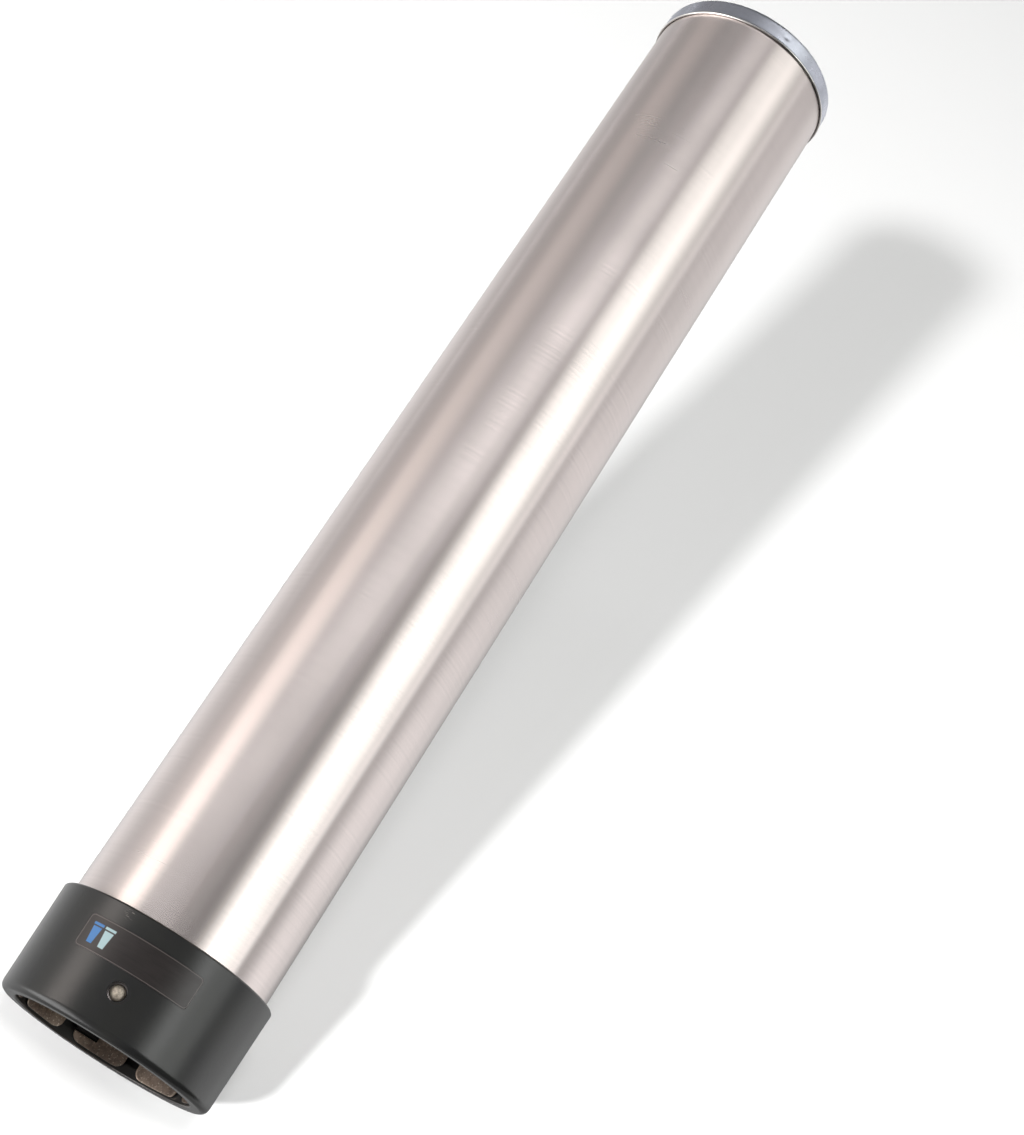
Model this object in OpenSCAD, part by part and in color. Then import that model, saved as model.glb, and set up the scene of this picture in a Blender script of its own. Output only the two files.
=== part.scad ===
// Tube dispenser for disposable cups, standing on the rim of its throat.
// Z runs up along the tube from the plane of the mouth, and the front, with the button, faces -Y.
// Cups are loaded from the top under a lift-off cap. The lowest one hangs in a ring of hinged steel
// fingers. Turning the ring of fingers against a fixed cam closes the throat for smaller cups.

/* [Tube and cap] */
// Height from the mouth to the top of the cap
overall_h = 597.4; // [450:0.1:760]
// Outside diameter of the steel tube
tube_d = 96; // [92:0.5:110]
// Sheet thickness of the tube
tube_wall = 0.8; // [0.6:0.1:1.2]
// Height of the cap from its lip to its top
cap_h = 10.4; // [8:0.1:20]
// Sheet thickness of the cap
cap_wall = 0.5; // [0.4:0.1:0.7]
// Gap between the cap's skirt and the tube
cap_gap = 0.3; // [0.3:0.05:0.8]
// How far the middle of the cap is pressed down
cap_panel_drop = 0.9; // [0.5:0.1:2]

/* [Collar] */
// Height of the collar
collar_h = 50; // [44:0.5:80]
// Wall of the collar at its top edge
collar_wall = 4.15; // [3:0.05:6]
// How much the collar's radius shrinks from top to bottom, for release from its mould
collar_draft = 1.2; // [0:0.1:1.5]
// Thickness of the lip at the mouth
lip_h = 5; // [4:0.1:7]
// Radius of the collar's lower outer edge
foot_radius = 3.3; // [2:0.1:4]
// Radius of the collar's upper outer edge
crown_radius = 1.2; // [0.5:0.1:2]
// Radius of the edges round the mouth
mouth_radius = 0.8; // [0.4:0.1:1]

/* [Throat] */
// Number of fingers
finger_count = 8; // [6:1:9]
// Angle of the first finger from +X
first_angle = 12; // [0:1:20]
// Distance of the fingers' inner faces from the sleeve's bore
finger_setback = 4; // [3.9:0.05:5]
// Sheet thickness of the fingers
finger_t = 0.5; // [0.4:0.05:0.6]
// Height of the finger tips above the mouth
tip_z = 1.5; // [1:0.1:2.5]
// Height of a finger's curved blade
blade_h = 20; // [18:0.5:20.5]
// Radius of a blade's lower corners
blade_corner = 4; // [2:0.1:6]
// Radius of a blade's upper corners
shoulder_corner = 3; // [2:0.1:4]
// Width of a finger's straight neck
neck_w = 11.6; // [10:0.1:12]
// Width of the tail that runs on the cam
tail_w = 6; // [5:0.1:7]
// Height of the tail above the hinge
tail_h = 8; // [6:0.1:9]
// Diameter of the hinge pins
pin_d = 1.8; // [1.6:0.1:2]
// Inward swing of the fingers at the smallest setting, in degrees
finger_swing = 10; // [5:1:10]
// Turn of the ring from the widest to the smallest setting, in degrees
setting_turn = 30; // [20:1:30]

/* [Button] */
// Height of the button above the mouth
button_z = 18; // [17:0.1:18.2]
// Diameter of the button's head
button_d = 6.7; // [6:0.1:7]
// Diameter of the hole for the button in the collar
button_hole_d = 8.2; // [7.6:0.1:10]
// How far the top of the head lies below the collar's outside
button_recess = 1.1; // [0.5:0.1:1.6]

/* [Hidden] */
$fn = 96;

// Length by which a cut runs past the face it opens
overrun = 1;
// A corner's arc is this much larger than the corner, so that it crosses the sides instead of grazing them
corner_arc_share = 1.01;

// Radii from the tube inward
tube_r = tube_d / 2;
tube_in_r = tube_r - tube_wall;
sleeve_fit = 0.15;
sleeve_wall = 1.05;
sleeve_r = tube_in_r - sleeve_fit;
sleeve_in_r = sleeve_r - sleeve_wall;
ring_gap = 0.2;
ring_r = sleeve_in_r - ring_gap;
finger_in_r = sleeve_in_r - finger_setback;
finger_out_r = finger_in_r + finger_t;
mouth_gap = 0.7;
mouth_r = finger_out_r + mouth_gap;

// Radii from the tube outward
collar_fit = 0.15;
collar_in_r = tube_r + collar_fit;
collar_top_r = collar_in_r + collar_wall;
collar_foot_r = collar_top_r - collar_draft;
cap_in_r = tube_r + cap_gap;
cap_r = cap_in_r + cap_wall;

// Cap details
cap_edge_radius = 1.6;
cap_bead = 0.45;
cap_bead_h = 1.1;
cap_head_gap = 0.3;
panel_r_share = 0.86;
panel_slope_w = 1.6;
cap_lip_z = overall_h - cap_h;
tube_top_z = overall_h - cap_wall - cap_head_gap;

// Retaining ring under the ring of fingers
clip_t = 1.1;
clip_w = 1.6;
clip_depth = 0.5;
clip_gap = 0.1;
clip_opening = 9;
ring_play = 0.3;
clip_above_button = 0.15;

// Button, its leaf spring and its rivet
button_r = button_d / 2;
button_gap = 0.3;
button_way_r = button_r + button_gap;
leaf_t = 0.4;
leaf_gap = 0.1;
leaf_w = 5.6;
leaf_span = 34;
leaf_out_r = sleeve_in_r - leaf_gap;
leaf_in_r = leaf_out_r - leaf_t;
leaf_end_angle = asin(leaf_w / 2 / leaf_in_r);
rivet_d = 2.2;
rivet_gap = 0.1;
rivet_head_d = 4.2;
rivet_head_t = 0.4;
rivet_set_d = 3;
rivet_set_t = 0.4;
shoulder_gap = 0.05;
head_dome = 0.9;
head_rim_share = 0.86;
collar_r_at_button = collar_foot_r + collar_draft * button_z / collar_h;
head_top_r = collar_r_at_button - button_recess;

// Heights of the throat mechanism
clip_z = button_z + button_way_r + clip_above_button;
ring_z = clip_z + clip_t + ring_play;
ring_h = 7.5;
pocket_floor = 2.7;
hinge_rise = 4.5;
hinge_z = ring_z + hinge_rise;
cam_z = ring_z + ring_h + ring_play;
cam_over_tail = 2;
cam_top_z = hinge_z + tail_h + cam_over_tail;
lead_in_h = 5;
lead_in_edge = 0.4;
lead_in_lap = 0.4;

// Hinge of a finger, rolled from its own sheet
pin_gap = 0.08;
pin_seat_gap = 0.02;
pin_seat_depth = 3.3;
pin_end_gap = 0.1;
seat_mouth_share = 0.88;
curl_ease = 0.05;
pin_r = pin_d / 2;
bore_r = pin_r + pin_gap;
knuckle_r = bore_r + finger_t + curl_ease;
hinge_r = finger_in_r + knuckle_r;
tail_slit = 0.3;
side_gap = 0.3;
pocket_half_w = neck_w / 2 + side_gap;
pin_half_l = pocket_half_w + pin_seat_depth;
post_inset = 0.2;
neck_relief_r = norm([finger_out_r, neck_w / 2]) + side_gap;

// Blades, notch and setting lug
finger_pitch = 360 / finger_count;
blade_share = 0.8;
blade_half_angle = finger_pitch * blade_share / 2;
blade_half_w = (finger_in_r + finger_t / 2) * sin(blade_half_angle);
blade_top_z = tip_z + blade_h;
neck_lap = 1.5;
lug_finger = 3;
notch_angle = 2.6;
notch_z = 5.6;
lug_gap = 0.8;
lug_gap_angle = 1;
lug_inset = 0.5;
lug_w = 3;
lug_stem_angle = 11;
lug_top_gap = 0.5;
lug_stem_h = 4;
lug_top_z = ring_z - lug_stem_h;
lug_z = notch_z + lug_gap;
stem_gap = 1.5;

// Elastic band round the blades
band_d = 2;
band_z = 9.5;
band_gap = 0.15;
band_r = finger_out_r + band_gap + band_d / 2;
groove_gap = 0.35;

// Cam
cam_gap = 0.3;
cam_steps = 6;
cam_dwell_angle = 1.5;
cam_step_back_angle = 1.5;

function polar(r, a) = [r * cos(a), r * sin(a)];
function finger_angle(n) = first_angle + finger_pitch * (n - 1);
// Distance from the axis to the outer face of a tail's top edge, with its finger swung in by an angle
function tail_reach(swing) =
    hinge_r - (knuckle_r - finger_t) * cos(swing) + tail_h * sin(swing);
function tail_corner_r(swing) = norm([tail_reach(swing), tail_w / 2]);
function tail_corner_angle(swing) = atan2(tail_w / 2, tail_reach(swing));
function swing_at(turn) = finger_swing * turn / setting_turn;
function cam_r(turn) = tail_corner_r(swing_at(turn)) + cam_gap;
function cam_turn(step) = setting_turn * step / cam_steps;

// One lobe lets a tail move outward while it is turned, holds it, then steps back for the next one
function cam_lobe(n) = concat(
    [for (step = [0 : cam_steps])
        let (turn = cam_turn(step))
        polar(cam_r(turn), finger_angle(n) + turn - tail_corner_angle(swing_at(turn)))],
    [polar(cam_r(setting_turn),
        finger_angle(n) + setting_turn + tail_corner_angle(finger_swing) + cam_dwell_angle),
     polar(cam_r(0),
        finger_angle(n + 1) - tail_corner_angle(0) - cam_step_back_angle)]);

module shell(r_out, r_in, z, h) {
    translate([0, 0, z]) difference() {
        cylinder(r = r_out, h = h);
        translate([0, 0, -overrun]) cylinder(r = r_in, h = h + 2 * overrun);
    }
}

module square_from(x0, y0, x1, y1) {
    translate([x0, y0]) square([x1 - x0, y1 - y0]);
}

// Part of a ring of rectangular section, from one angle over a span
module ring_sector(r_out, r_in, z, h, angle, span) {
    rotate([0, 0, angle]) rotate_extrude(angle = span)
        translate([r_in, z]) square([r_out - r_in, h]);
}

// What a quarter round of radius r leaves of its square, with the corner at the origin
module corner_waste(r) {
    difference() {
        translate([-overrun, -overrun]) square(r + overrun);
        translate([r, r]) circle(r = r * corner_arc_share);
    }
}

// Stands a flat outline up so that it faces outward, and extrudes it from the axis by depth
module outward_plate(depth) {
    rotate([90, 0, 90]) linear_extrude(height = depth) children();
}

module box_between(low, high) {
    translate(low) cube(high - low);
}

// Round bar along the tangent at the hinge, from -half to +half
module hinge_bar(r, half) {
    translate([hinge_r, half, hinge_z]) rotate([90, 0, 0]) cylinder(r = r, h = 2 * half);
}

module at_finger(n) {
    rotate([0, 0, finger_angle(n)]) children();
}

// Round hole or bar pointing outward at the front, at the height of the button
module front_bar(r, from_r, to_r) {
    translate([0, -from_r, button_z]) rotate([90, 0, 0]) cylinder(r = r, h = to_r - from_r);
}

module tube() {
    color("silver") difference() {
        shell(tube_r, tube_in_r, lip_h, tube_top_z - lip_h);
        front_bar(button_way_r, 0, tube_r + overrun);
    }
}

// Pressed lid: a flat crown, a middle pressed down inside it and a rolled lip below
module top_cap() {
    panel_r = cap_r * panel_r_share;
    crown_z = overall_h - cap_wall;
    color("lightsteelblue") rotate_extrude() difference() {
        union() {
            square_from(cap_in_r, cap_lip_z, cap_r, overall_h);
            square_from(panel_r, crown_z, cap_r, overall_h);
            polygon([
                [0, crown_z - cap_panel_drop],
                [panel_r - panel_slope_w, crown_z - cap_panel_drop],
                [panel_r, crown_z],
                [panel_r, overall_h],
                [panel_r - panel_slope_w, overall_h - cap_panel_drop],
                [0, overall_h - cap_panel_drop],
            ]);
            polygon([
                [cap_in_r, cap_lip_z],
                [cap_r + cap_bead, cap_lip_z],
                [cap_r + cap_bead, cap_lip_z + cap_bead_h / 2],
                [cap_r, cap_lip_z + cap_bead_h],
                [cap_in_r, cap_lip_z + cap_bead_h],
            ]);
        }
        translate([cap_r, overall_h]) rotate(180) corner_waste(cap_edge_radius);
    }
}

// Moulded collar with a lip that carries the tube and the sleeve
module throat_collar() {
    color("dimgray") difference() {
        rotate_extrude() difference() {
            polygon([
                [mouth_r, 0],
                [collar_foot_r, 0],
                [collar_top_r, collar_h],
                [collar_in_r, collar_h],
                [collar_in_r, lip_h],
                [mouth_r, lip_h],
            ]);
            translate([collar_foot_r, 0]) rotate(90) corner_waste(foot_radius);
            translate([collar_top_r, collar_h]) rotate(180) corner_waste(crown_radius);
            translate([mouth_r, 0]) corner_waste(mouth_radius);
        }
        front_bar(button_hole_d / 2, tube_r - overrun, collar_top_r + overrun);
    }
}

// Fixed sleeve inside the end of the tube: seat of the turning ring, cam above it, and a lead-in
module cam_sleeve() {
    color("black") difference() {
        union() {
            shell(sleeve_r, sleeve_in_r, lip_h, cam_top_z - lip_h);
            translate([0, 0, cam_z]) linear_extrude(height = cam_top_z - cam_z) difference() {
                circle(r = (sleeve_r + sleeve_in_r) / 2);
                polygon([for (n = [1 : finger_count]) each cam_lobe(n)]);
            }
            translate([0, 0, cam_top_z]) rotate_extrude() polygon([
                [cam_r(0) + lead_in_lap, 0],
                [sleeve_r, 0],
                [sleeve_r, lead_in_h],
                [sleeve_r - lead_in_edge, lead_in_h],
            ]);
        }
        shell(sleeve_in_r + clip_depth + clip_gap, sleeve_in_r - overrun,
            clip_z - clip_gap, clip_t + 2 * clip_gap);
        front_bar(button_way_r, 0, sleeve_r + overrun);
        at_rivet() radial_bar(rivet_d / 2 + rivet_gap, sleeve_in_r - overrun, sleeve_r + overrun);
        at_rivet() radial_bar(rivet_set_d / 2 + rivet_gap,
            sleeve_r - rivet_set_t - rivet_gap, sleeve_r + overrun);
    }
}

// Places its children at the fixed end of the leaf spring, with X pointing outward
module at_rivet() {
    rotate([0, 0, -90 - leaf_span]) translate([0, 0, button_z]) children();
}

module radial_bar(r, from_r, to_r) {
    translate([from_r, 0, 0]) rotate([0, 90, 0]) cylinder(r = r, h = to_r - from_r);
}

// Turning ring: a hoop with a post between each two fingers, and the lug that it is turned by
module throat_ring() {
    color("black") difference() {
        union() {
            shell(ring_r, finger_in_r + post_inset, ring_z, ring_h);
            setting_lug();
        }
        for (n = [1 : finger_count]) at_finger(n) {
            box_between([finger_in_r - overrun, -pocket_half_w, ring_z + pocket_floor],
                [ring_r + overrun, pocket_half_w, ring_z + ring_h + overrun]);
            box_between([finger_in_r - overrun, -pocket_half_w, ring_z - overrun],
                [neck_relief_r, pocket_half_w, ring_z + ring_h + overrun]);
            pin_seat();
        }
    }
}

// Seat that a pin snaps into from above
module pin_seat() {
    seat_r = pin_r + pin_seat_gap;
    hinge_bar(seat_r, pin_half_l);
    box_between([hinge_r - seat_r * seat_mouth_share, -pin_half_l, hinge_z],
        [hinge_r + seat_r * seat_mouth_share, pin_half_l, ring_z + ring_h + overrun]);
}

// Lug beside the notched finger, hung from the ring by a narrower stem and grooved for the band
module setting_lug() {
    lug_in_r = finger_in_r - lug_inset;
    lug_angle = finger_angle(lug_finger) + notch_angle + lug_gap_angle;
    lug_end = finger_angle(lug_finger) + blade_half_angle;
    stem_start = finger_angle(lug_finger) + lug_stem_angle;
    difference() {
        ring_sector(lug_in_r + lug_w, lug_in_r, lug_z, ring_z + overrun - lug_z,
            lug_angle, lug_end - lug_angle);
        ring_sector(lug_in_r + lug_w + overrun, lug_in_r - overrun,
            lug_top_z, ring_z + 2 * overrun - lug_top_z,
            lug_angle - lug_gap_angle, stem_start + lug_gap_angle - lug_angle);
        shell(band_r + band_d / 2 + overrun, finger_out_r + band_gap - groove_gap,
            band_z - band_d / 2 - groove_gap, band_d + 2 * groove_gap);
    }
}

// Snap ring in the sleeve's groove, open over the button
module retaining_ring() {
    clip_r = sleeve_in_r + clip_depth;
    half_opening = asin(clip_opening / 2 / sleeve_in_r);
    color("gray") ring_sector(clip_r, clip_r - clip_w, clip_z, clip_t,
        half_opening - 90, 360 - 2 * half_opening);
}

// Steel finger: a blade curved to the mouth, a flat neck, two rolled knuckles and the tail
module finger(n) {
    color("silver") at_finger(n) difference() {
        union() {
            difference() {
                ring_sector(finger_out_r, finger_in_r, tip_z, blade_h,
                    -blade_half_angle, 2 * blade_half_angle);
                for (side = [-1, 1]) outward_plate(tube_r) {
                    translate([side * blade_half_w, tip_z]) scale([-side, 1]) corner_waste(blade_corner);
                    translate([side * blade_half_w, blade_top_z]) scale([-side, -1])
                        corner_waste(shoulder_corner);
                }
            }
            box_between([finger_in_r, -neck_w / 2, blade_top_z - neck_lap],
                [finger_out_r, neck_w / 2, hinge_z]);
            box_between([finger_in_r, -tail_w / 2, blade_top_z],
                [finger_out_r, tail_w / 2, hinge_z + tail_h]);
            knuckle_lanes() hinge_bar(knuckle_r, neck_w / 2);
        }
        hinge_bar(bore_r, neck_w / 2 + overrun);
        if (n == lug_finger) lug_notch();
    }
}

// Keeps only the two outer lanes, one on each side of the tail
module knuckle_lanes() {
    difference() {
        children();
        box_between([finger_in_r - overrun, -tail_w / 2 - tail_slit, 0],
            [ring_r, tail_w / 2 + tail_slit, hinge_z + knuckle_r + overrun]);
    }
}

// Cut that lets the lug through the blade, leaving a strip below it
module lug_notch() {
    notch_y = finger_in_r * sin(notch_angle);
    box_between([finger_in_r * cos(blade_half_angle) - overrun, notch_y, notch_z],
        [finger_out_r + overrun, blade_half_w + overrun, lug_top_z + lug_top_gap]);
    box_between([finger_in_r * cos(blade_half_angle) - overrun,
            finger_in_r * sin(lug_stem_angle) - stem_gap, notch_z],
        [finger_out_r + overrun, blade_half_w + overrun, blade_top_z + overrun]);
}

module finger_pin(n) {
    color("gray") at_finger(n) hinge_bar(pin_r, pin_half_l - pin_end_gap);
}

module finger_band() {
    color("darkslategray") translate([0, 0, band_z]) rotate_extrude()
        translate([band_r, 0]) circle(d = band_d);
}

// Domed head on a tenon that is riveted over behind the leaf spring
module snap_button() {
    shoulder_r = leaf_out_r + shoulder_gap;
    tenon_head_r = leaf_in_r - rivet_head_t - leaf_gap;
    rim_r = button_r * head_rim_share;
    dome_r = (rim_r * rim_r + head_dome * head_dome) / (2 * head_dome);
    edge_drop = button_r - rim_r;
    color("silver") translate([0, 0, button_z]) rotate([90, 0, 0]) {
        translate([0, 0, shoulder_r])
            cylinder(r = button_r, h = head_top_r - head_dome - edge_drop - shoulder_r);
        translate([0, 0, head_top_r - head_dome - edge_drop])
            cylinder(r1 = button_r, r2 = rim_r, h = edge_drop);
        intersection() {
            translate([0, 0, head_top_r - dome_r]) sphere(r = dome_r);
            translate([0, 0, head_top_r - head_dome - edge_drop / 2])
                cylinder(r = rim_r, h = head_dome + overrun);
        }
        translate([0, 0, tenon_head_r]) cylinder(r = rivet_d / 2, h = shoulder_r + edge_drop - tenon_head_r);
        translate([0, 0, tenon_head_r]) cylinder(r = rivet_head_d / 2, h = rivet_head_t);
    }
}

// Curved leaf spring that lies against the sleeve, from its rivet to the button
module button_spring() {
    color("lightgray") difference() {
        ring_sector(leaf_out_r, leaf_in_r, button_z - leaf_w / 2, leaf_w,
            -90 - leaf_span - leaf_end_angle, leaf_span + 2 * leaf_end_angle);
        front_bar(rivet_d / 2 + rivet_gap, leaf_in_r - overrun, leaf_out_r + overrun);
        at_rivet() radial_bar(rivet_d / 2 + rivet_gap, leaf_in_r - overrun, leaf_out_r + overrun);
    }
}

module spring_rivet() {
    head_r = leaf_in_r - rivet_head_t - shoulder_gap - leaf_gap;
    color("gray") at_rivet() {
        radial_bar(rivet_d / 2, head_r, sleeve_r - rivet_gap);
        radial_bar(rivet_head_d / 2, head_r, head_r + rivet_head_t);
        radial_bar(rivet_set_d / 2, sleeve_r - rivet_set_t, sleeve_r - rivet_gap);
    }
}

tube();
top_cap();
throat_collar();
cam_sleeve();
throat_ring();
retaining_ring();
for (n = [1 : finger_count])
    finger(n);
for (n = [1 : finger_count])
    finger_pin(n);
finger_band();
snap_button();
button_spring();
spring_rivet();
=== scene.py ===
"""Looks of a tube dispenser for disposable cups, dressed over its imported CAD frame.

Everything is in metres in the part's own frame: Z runs up the tube from the plane of the mouth, and the
button faces -Y. A size whose name ends in _mm is in millimetres and is turned to metres where it is used.
"""

import logging
import math
from dataclasses import dataclass, field, replace
from enum import Enum

import bmesh
import bpy
from mathutils import Matrix, Vector


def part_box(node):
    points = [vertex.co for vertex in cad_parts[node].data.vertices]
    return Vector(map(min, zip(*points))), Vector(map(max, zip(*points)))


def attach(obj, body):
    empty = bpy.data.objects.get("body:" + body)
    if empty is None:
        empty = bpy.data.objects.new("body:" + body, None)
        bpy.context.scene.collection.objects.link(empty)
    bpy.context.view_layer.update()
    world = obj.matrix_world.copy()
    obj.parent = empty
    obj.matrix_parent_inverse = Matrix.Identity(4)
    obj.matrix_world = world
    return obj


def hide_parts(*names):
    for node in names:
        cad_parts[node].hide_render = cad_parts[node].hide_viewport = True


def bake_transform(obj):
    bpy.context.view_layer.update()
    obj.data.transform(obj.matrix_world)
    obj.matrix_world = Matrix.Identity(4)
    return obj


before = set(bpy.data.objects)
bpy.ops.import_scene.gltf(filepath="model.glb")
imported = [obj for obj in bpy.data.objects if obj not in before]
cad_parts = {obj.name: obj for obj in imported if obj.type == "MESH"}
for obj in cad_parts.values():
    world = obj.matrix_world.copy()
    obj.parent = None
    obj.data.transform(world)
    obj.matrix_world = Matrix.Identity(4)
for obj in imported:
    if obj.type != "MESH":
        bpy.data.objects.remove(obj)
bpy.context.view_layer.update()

log = logging.getLogger("cup_dispenser")

MM = 0.001
FINGER_COUNT = 8
# Edges that turn by fewer degrees than this look smooth
SMOOTH_UNDER_DEG = 35.0

MATH = "ShaderNodeMath"
VECTOR_MATH = "ShaderNodeVectorMath"
NOISE = "ShaderNodeTexNoise"
RANGE = "ShaderNodeMapRange"
MIX = "ShaderNodeMix"
COORDINATES = "ShaderNodeTexCoord"
MAPPING = "ShaderNodeMapping"
SPLIT = "ShaderNodeSeparateXYZ"
BUMP = "ShaderNodeBump"
PRINCIPLED = "ShaderNodeBsdfPrincipled"

Tree = bpy.types.NodeTree
Node = bpy.types.Node
Socket = bpy.types.NodeSocket
# The outputs of a tree's input node, by the names of its sizes
Sizes = bpy.types.NodeOutputs
Colour = tuple[float, float, float, float]

WHITE: Colour = (1.0, 1.0, 1.0, 1.0)
# The values that a mask or a tone runs between
NONE_TO_ALL = (0.0, 1.0)
# Most of a noise lies between these values
NOISE_ENDS = (0.3, 0.7)


# Colours, nodes and meshes

def linear(hex_colour: str) -> Colour:
    """Turns an sRGB colour to the linear values that Blender's sockets take.

    Args:
        hex_colour: colour such as "#C8C0BC".

    Returns:
        Linear red, green and blue, and an alpha of one.
    """
    parts = [int(hex_colour[i:i + 2], 16) / 255 for i in (1, 3, 5)]
    return (*[p / 12.92 if p <= 0.04045 else ((p + 0.055) / 1.055) ** 2.4 for p in parts], 1.0)


def per_metre(*pitch_mm: float) -> tuple[float, ...]:
    """Gives the scales that draw a pattern with these distances between its features."""
    return tuple(1 / (pitch * MM) for pitch in pitch_mm)


def add_node(
    tree: Tree, kind: str, *values: object, named: dict[str, object] | None = None, **settings: object
) -> Node:
    """Adds a node with its settings, and sets or links its inputs.

    Args:
        tree: tree that the node goes into.
        kind: Blender's name for the kind of node.
        values: what each shown input takes, in the node's own order: a plain value, the output socket that
            feeds it, or a node whose first shown output does.
        named: the same for inputs by name.
        settings: the node's own properties.

    Returns:
        The new node.
    """
    node = tree.nodes.new(kind)
    for name, value in settings.items():
        setattr(node, name, value)
    shown = [socket for socket in node.inputs if socket.enabled]
    by_name = [(node.inputs[name], value) for name, value in (named or {}).items()]
    for socket, value in [*zip(shown, values), *by_name]:
        if isinstance(value, Node):
            value = next(output for output in value.outputs if output.enabled)
        if isinstance(value, Socket):
            tree.links.new(value, socket)
        else:
            socket.default_value = value
    return node


def add_piece(name: str, mesh: bpy.types.Mesh) -> bpy.types.Object:
    """Puts a mesh into the scene as an unturned object at the origin.

    Args:
        name: name of the object.
        mesh: its mesh.

    Returns:
        The new object.
    """
    piece = bpy.data.objects.new(name, mesh)
    bpy.context.scene.collection.objects.link(piece)
    return piece


def mesh_from(name: str, shape: bmesh.types.BMesh) -> bpy.types.Mesh:
    """Turns a bmesh to a mesh whose flat turns are smooth and whose steep ones are sharp.

    Args:
        name: name of the mesh.
        shape: bmesh that the mesh is made from, which is freed.

    Returns:
        The new mesh.
    """
    bmesh.ops.recalc_face_normals(shape, faces=shape.faces)
    steep = math.radians(SMOOTH_UNDER_DEG)
    for edge in shape.edges:
        edge.smooth = len(edge.link_faces) == 2 and edge.calc_face_angle(0.0) < steep
    for face in shape.faces:
        face.smooth = True
    mesh = bpy.data.meshes.new(name)
    shape.to_mesh(mesh)
    shape.free()
    return mesh


def dress(node: str, material: bpy.types.Material) -> None:
    """Gives a CAD node one material.

    Args:
        node: name of the node.
        material: the material for all of it.
    """
    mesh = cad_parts[node].data
    mesh.materials.clear()
    mesh.materials.append(material)


def report(piece: bpy.types.Object) -> None:
    """Logs a piece that was made, with its count of faces."""
    log.info("%s made, %d faces", piece.name, len(piece.data.polygons))


def arc_points(
    centre: tuple[float, float], radius: float, start: float, end: float, steps: int
) -> list[tuple[float, float]]:
    """Lists points along an arc of a section.

    Args:
        centre: distance from the axis and height of the arc's centre.
        radius: the arc's radius.
        start: first angle in degrees, from outward toward up.
        end: last angle in degrees.
        steps: number of steps between them.

    Returns:
        The points, the first and last included.
    """
    angles = [math.radians(start + (end - start) * i / steps) for i in range(steps + 1)]
    return [(centre[0] + radius * math.cos(a), centre[1] + radius * math.sin(a)) for a in angles]


def round_the_axis(radius_mm: float, angle: float, height_mm: float) -> Vector:
    """Gives a place from its distance from the axis, its angle from the front and its height.

    Args:
        radius_mm: distance from the axis in millimetres.
        angle: angle from the front toward +X, in radians.
        height_mm: height in millimetres.

    Returns:
        The place in metres.
    """
    return Vector((radius_mm * math.sin(angle), -radius_mm * math.cos(angle), height_mm)) * MM


# Finishes

class ToolMarks(Enum):
    """How tool marks run on worked steel, as the length of a mark over its width along X, Y and Z."""

    UPRIGHT = (1.0, 1.0, 14.0)
    LEVEL = (9.0, 9.0, 1.0)
    TUMBLED = (1.0, 1.0, 1.0)


@dataclass(frozen=True)
class Pattern:
    """A cloudy pattern: the size of its features, one for all ways or one each along X, Y and Z, how many
    finer layers it has, and how strong each layer is beside the one before."""

    size_mm: tuple[float, ...]
    layers: float
    layer_share: float = 0.6

    def inputs(self) -> tuple[float, float, float]:
        """Gives a noise node's scale, detail and roughness. A mapping node before it takes three sizes.

        Returns:
            The three values. The scale is one where the sizes are left to a mapping node.
        """
        scale = 1.0 if len(self.size_mm) > 1 else per_metre(*self.size_mm)[0]
        return scale, self.layers, self.layer_share


class Finish:
    """A surface finish, which lays out its own nodes between coordinates and a shader."""

    name: str

    def shader(self, tree: Tree) -> Node:
        """Adds the finish's own nodes and gives the last one, its shader."""
        raise NotImplementedError

    def material(self) -> bpy.types.Material:
        """Makes the material of this finish.

        Returns:
            The material, ready to assign.
        """
        made = bpy.data.materials.new(self.name)
        made.use_nodes = True
        made.node_tree.nodes.clear()
        add_node(made.node_tree, "ShaderNodeOutputMaterial", self.shader(made.node_tree))
        return made


@dataclass(frozen=True)
class BrushedSteel(Finish):
    """Stainless sheet brushed round the tube by a belt. The marks spread a light along the tube and leave it
    narrow across, so windows show as long soft stripes. A pinkish grey, faintly clouded by handling."""

    name: str = "brushed_stainless_tube"
    light_colour: str = "#EADFDC"
    dark_colour: str = "#E0D6D3"
    roughness: tuple[float, float] = (0.275, 0.245)
    anisotropy: float = 0.9
    # A quarter turn from the tangent round the tube, so the light spreads across the belt's marks
    anisotropy_turn: float = 0.25
    # The belt's real marks are under 0.1 mm wide. They are drawn 1.3 mm wide, the finest that shows cleanly.
    marks: Pattern = Pattern((1.3,), 1.0, 0.5)
    mark_share: float = 0.25
    clouds: Pattern = Pattern((60.0,), 3.0, 0.5)

    def shader(self, tree: Tree) -> Node:
        """Adds the belt's marks and the clouding, in the colour and the gloss.

        Args:
            tree: the material's tree.

        Returns:
            The shader node.
        """
        place = add_node(tree, COORDINATES).outputs["Object"]
        height = add_node(tree, SPLIT, place).outputs["Z"]
        marks = add_node(tree, NOISE, height, *self.marks.inputs(), noise_dimensions="1D")
        clouds = add_node(tree, NOISE, place, *self.clouds.inputs())
        share = add_node(tree, MATH, marks, self.mark_share, operation="MULTIPLY")
        both = add_node(tree, MATH, clouds, 1 - self.mark_share, share, operation="MULTIPLY_ADD")
        tone = add_node(tree, RANGE, both, *NOISE_ENDS, *NONE_TO_ALL)
        tones = linear(self.dark_colour), linear(self.light_colour)
        return add_node(tree, PRINCIPLED, named={
            "Base Color": add_node(tree, MIX, tone, *tones, data_type="RGBA"),
            "Metallic": 1.0,
            "Roughness": add_node(tree, RANGE, both, *NOISE_ENDS, *self.roughness),
            "Anisotropic": self.anisotropy,
            "Anisotropic Rotation": self.anisotropy_turn,
            "Tangent": add_node(tree, "ShaderNodeTangent", direction_type="RADIAL", axis="Z"),
        })


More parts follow.
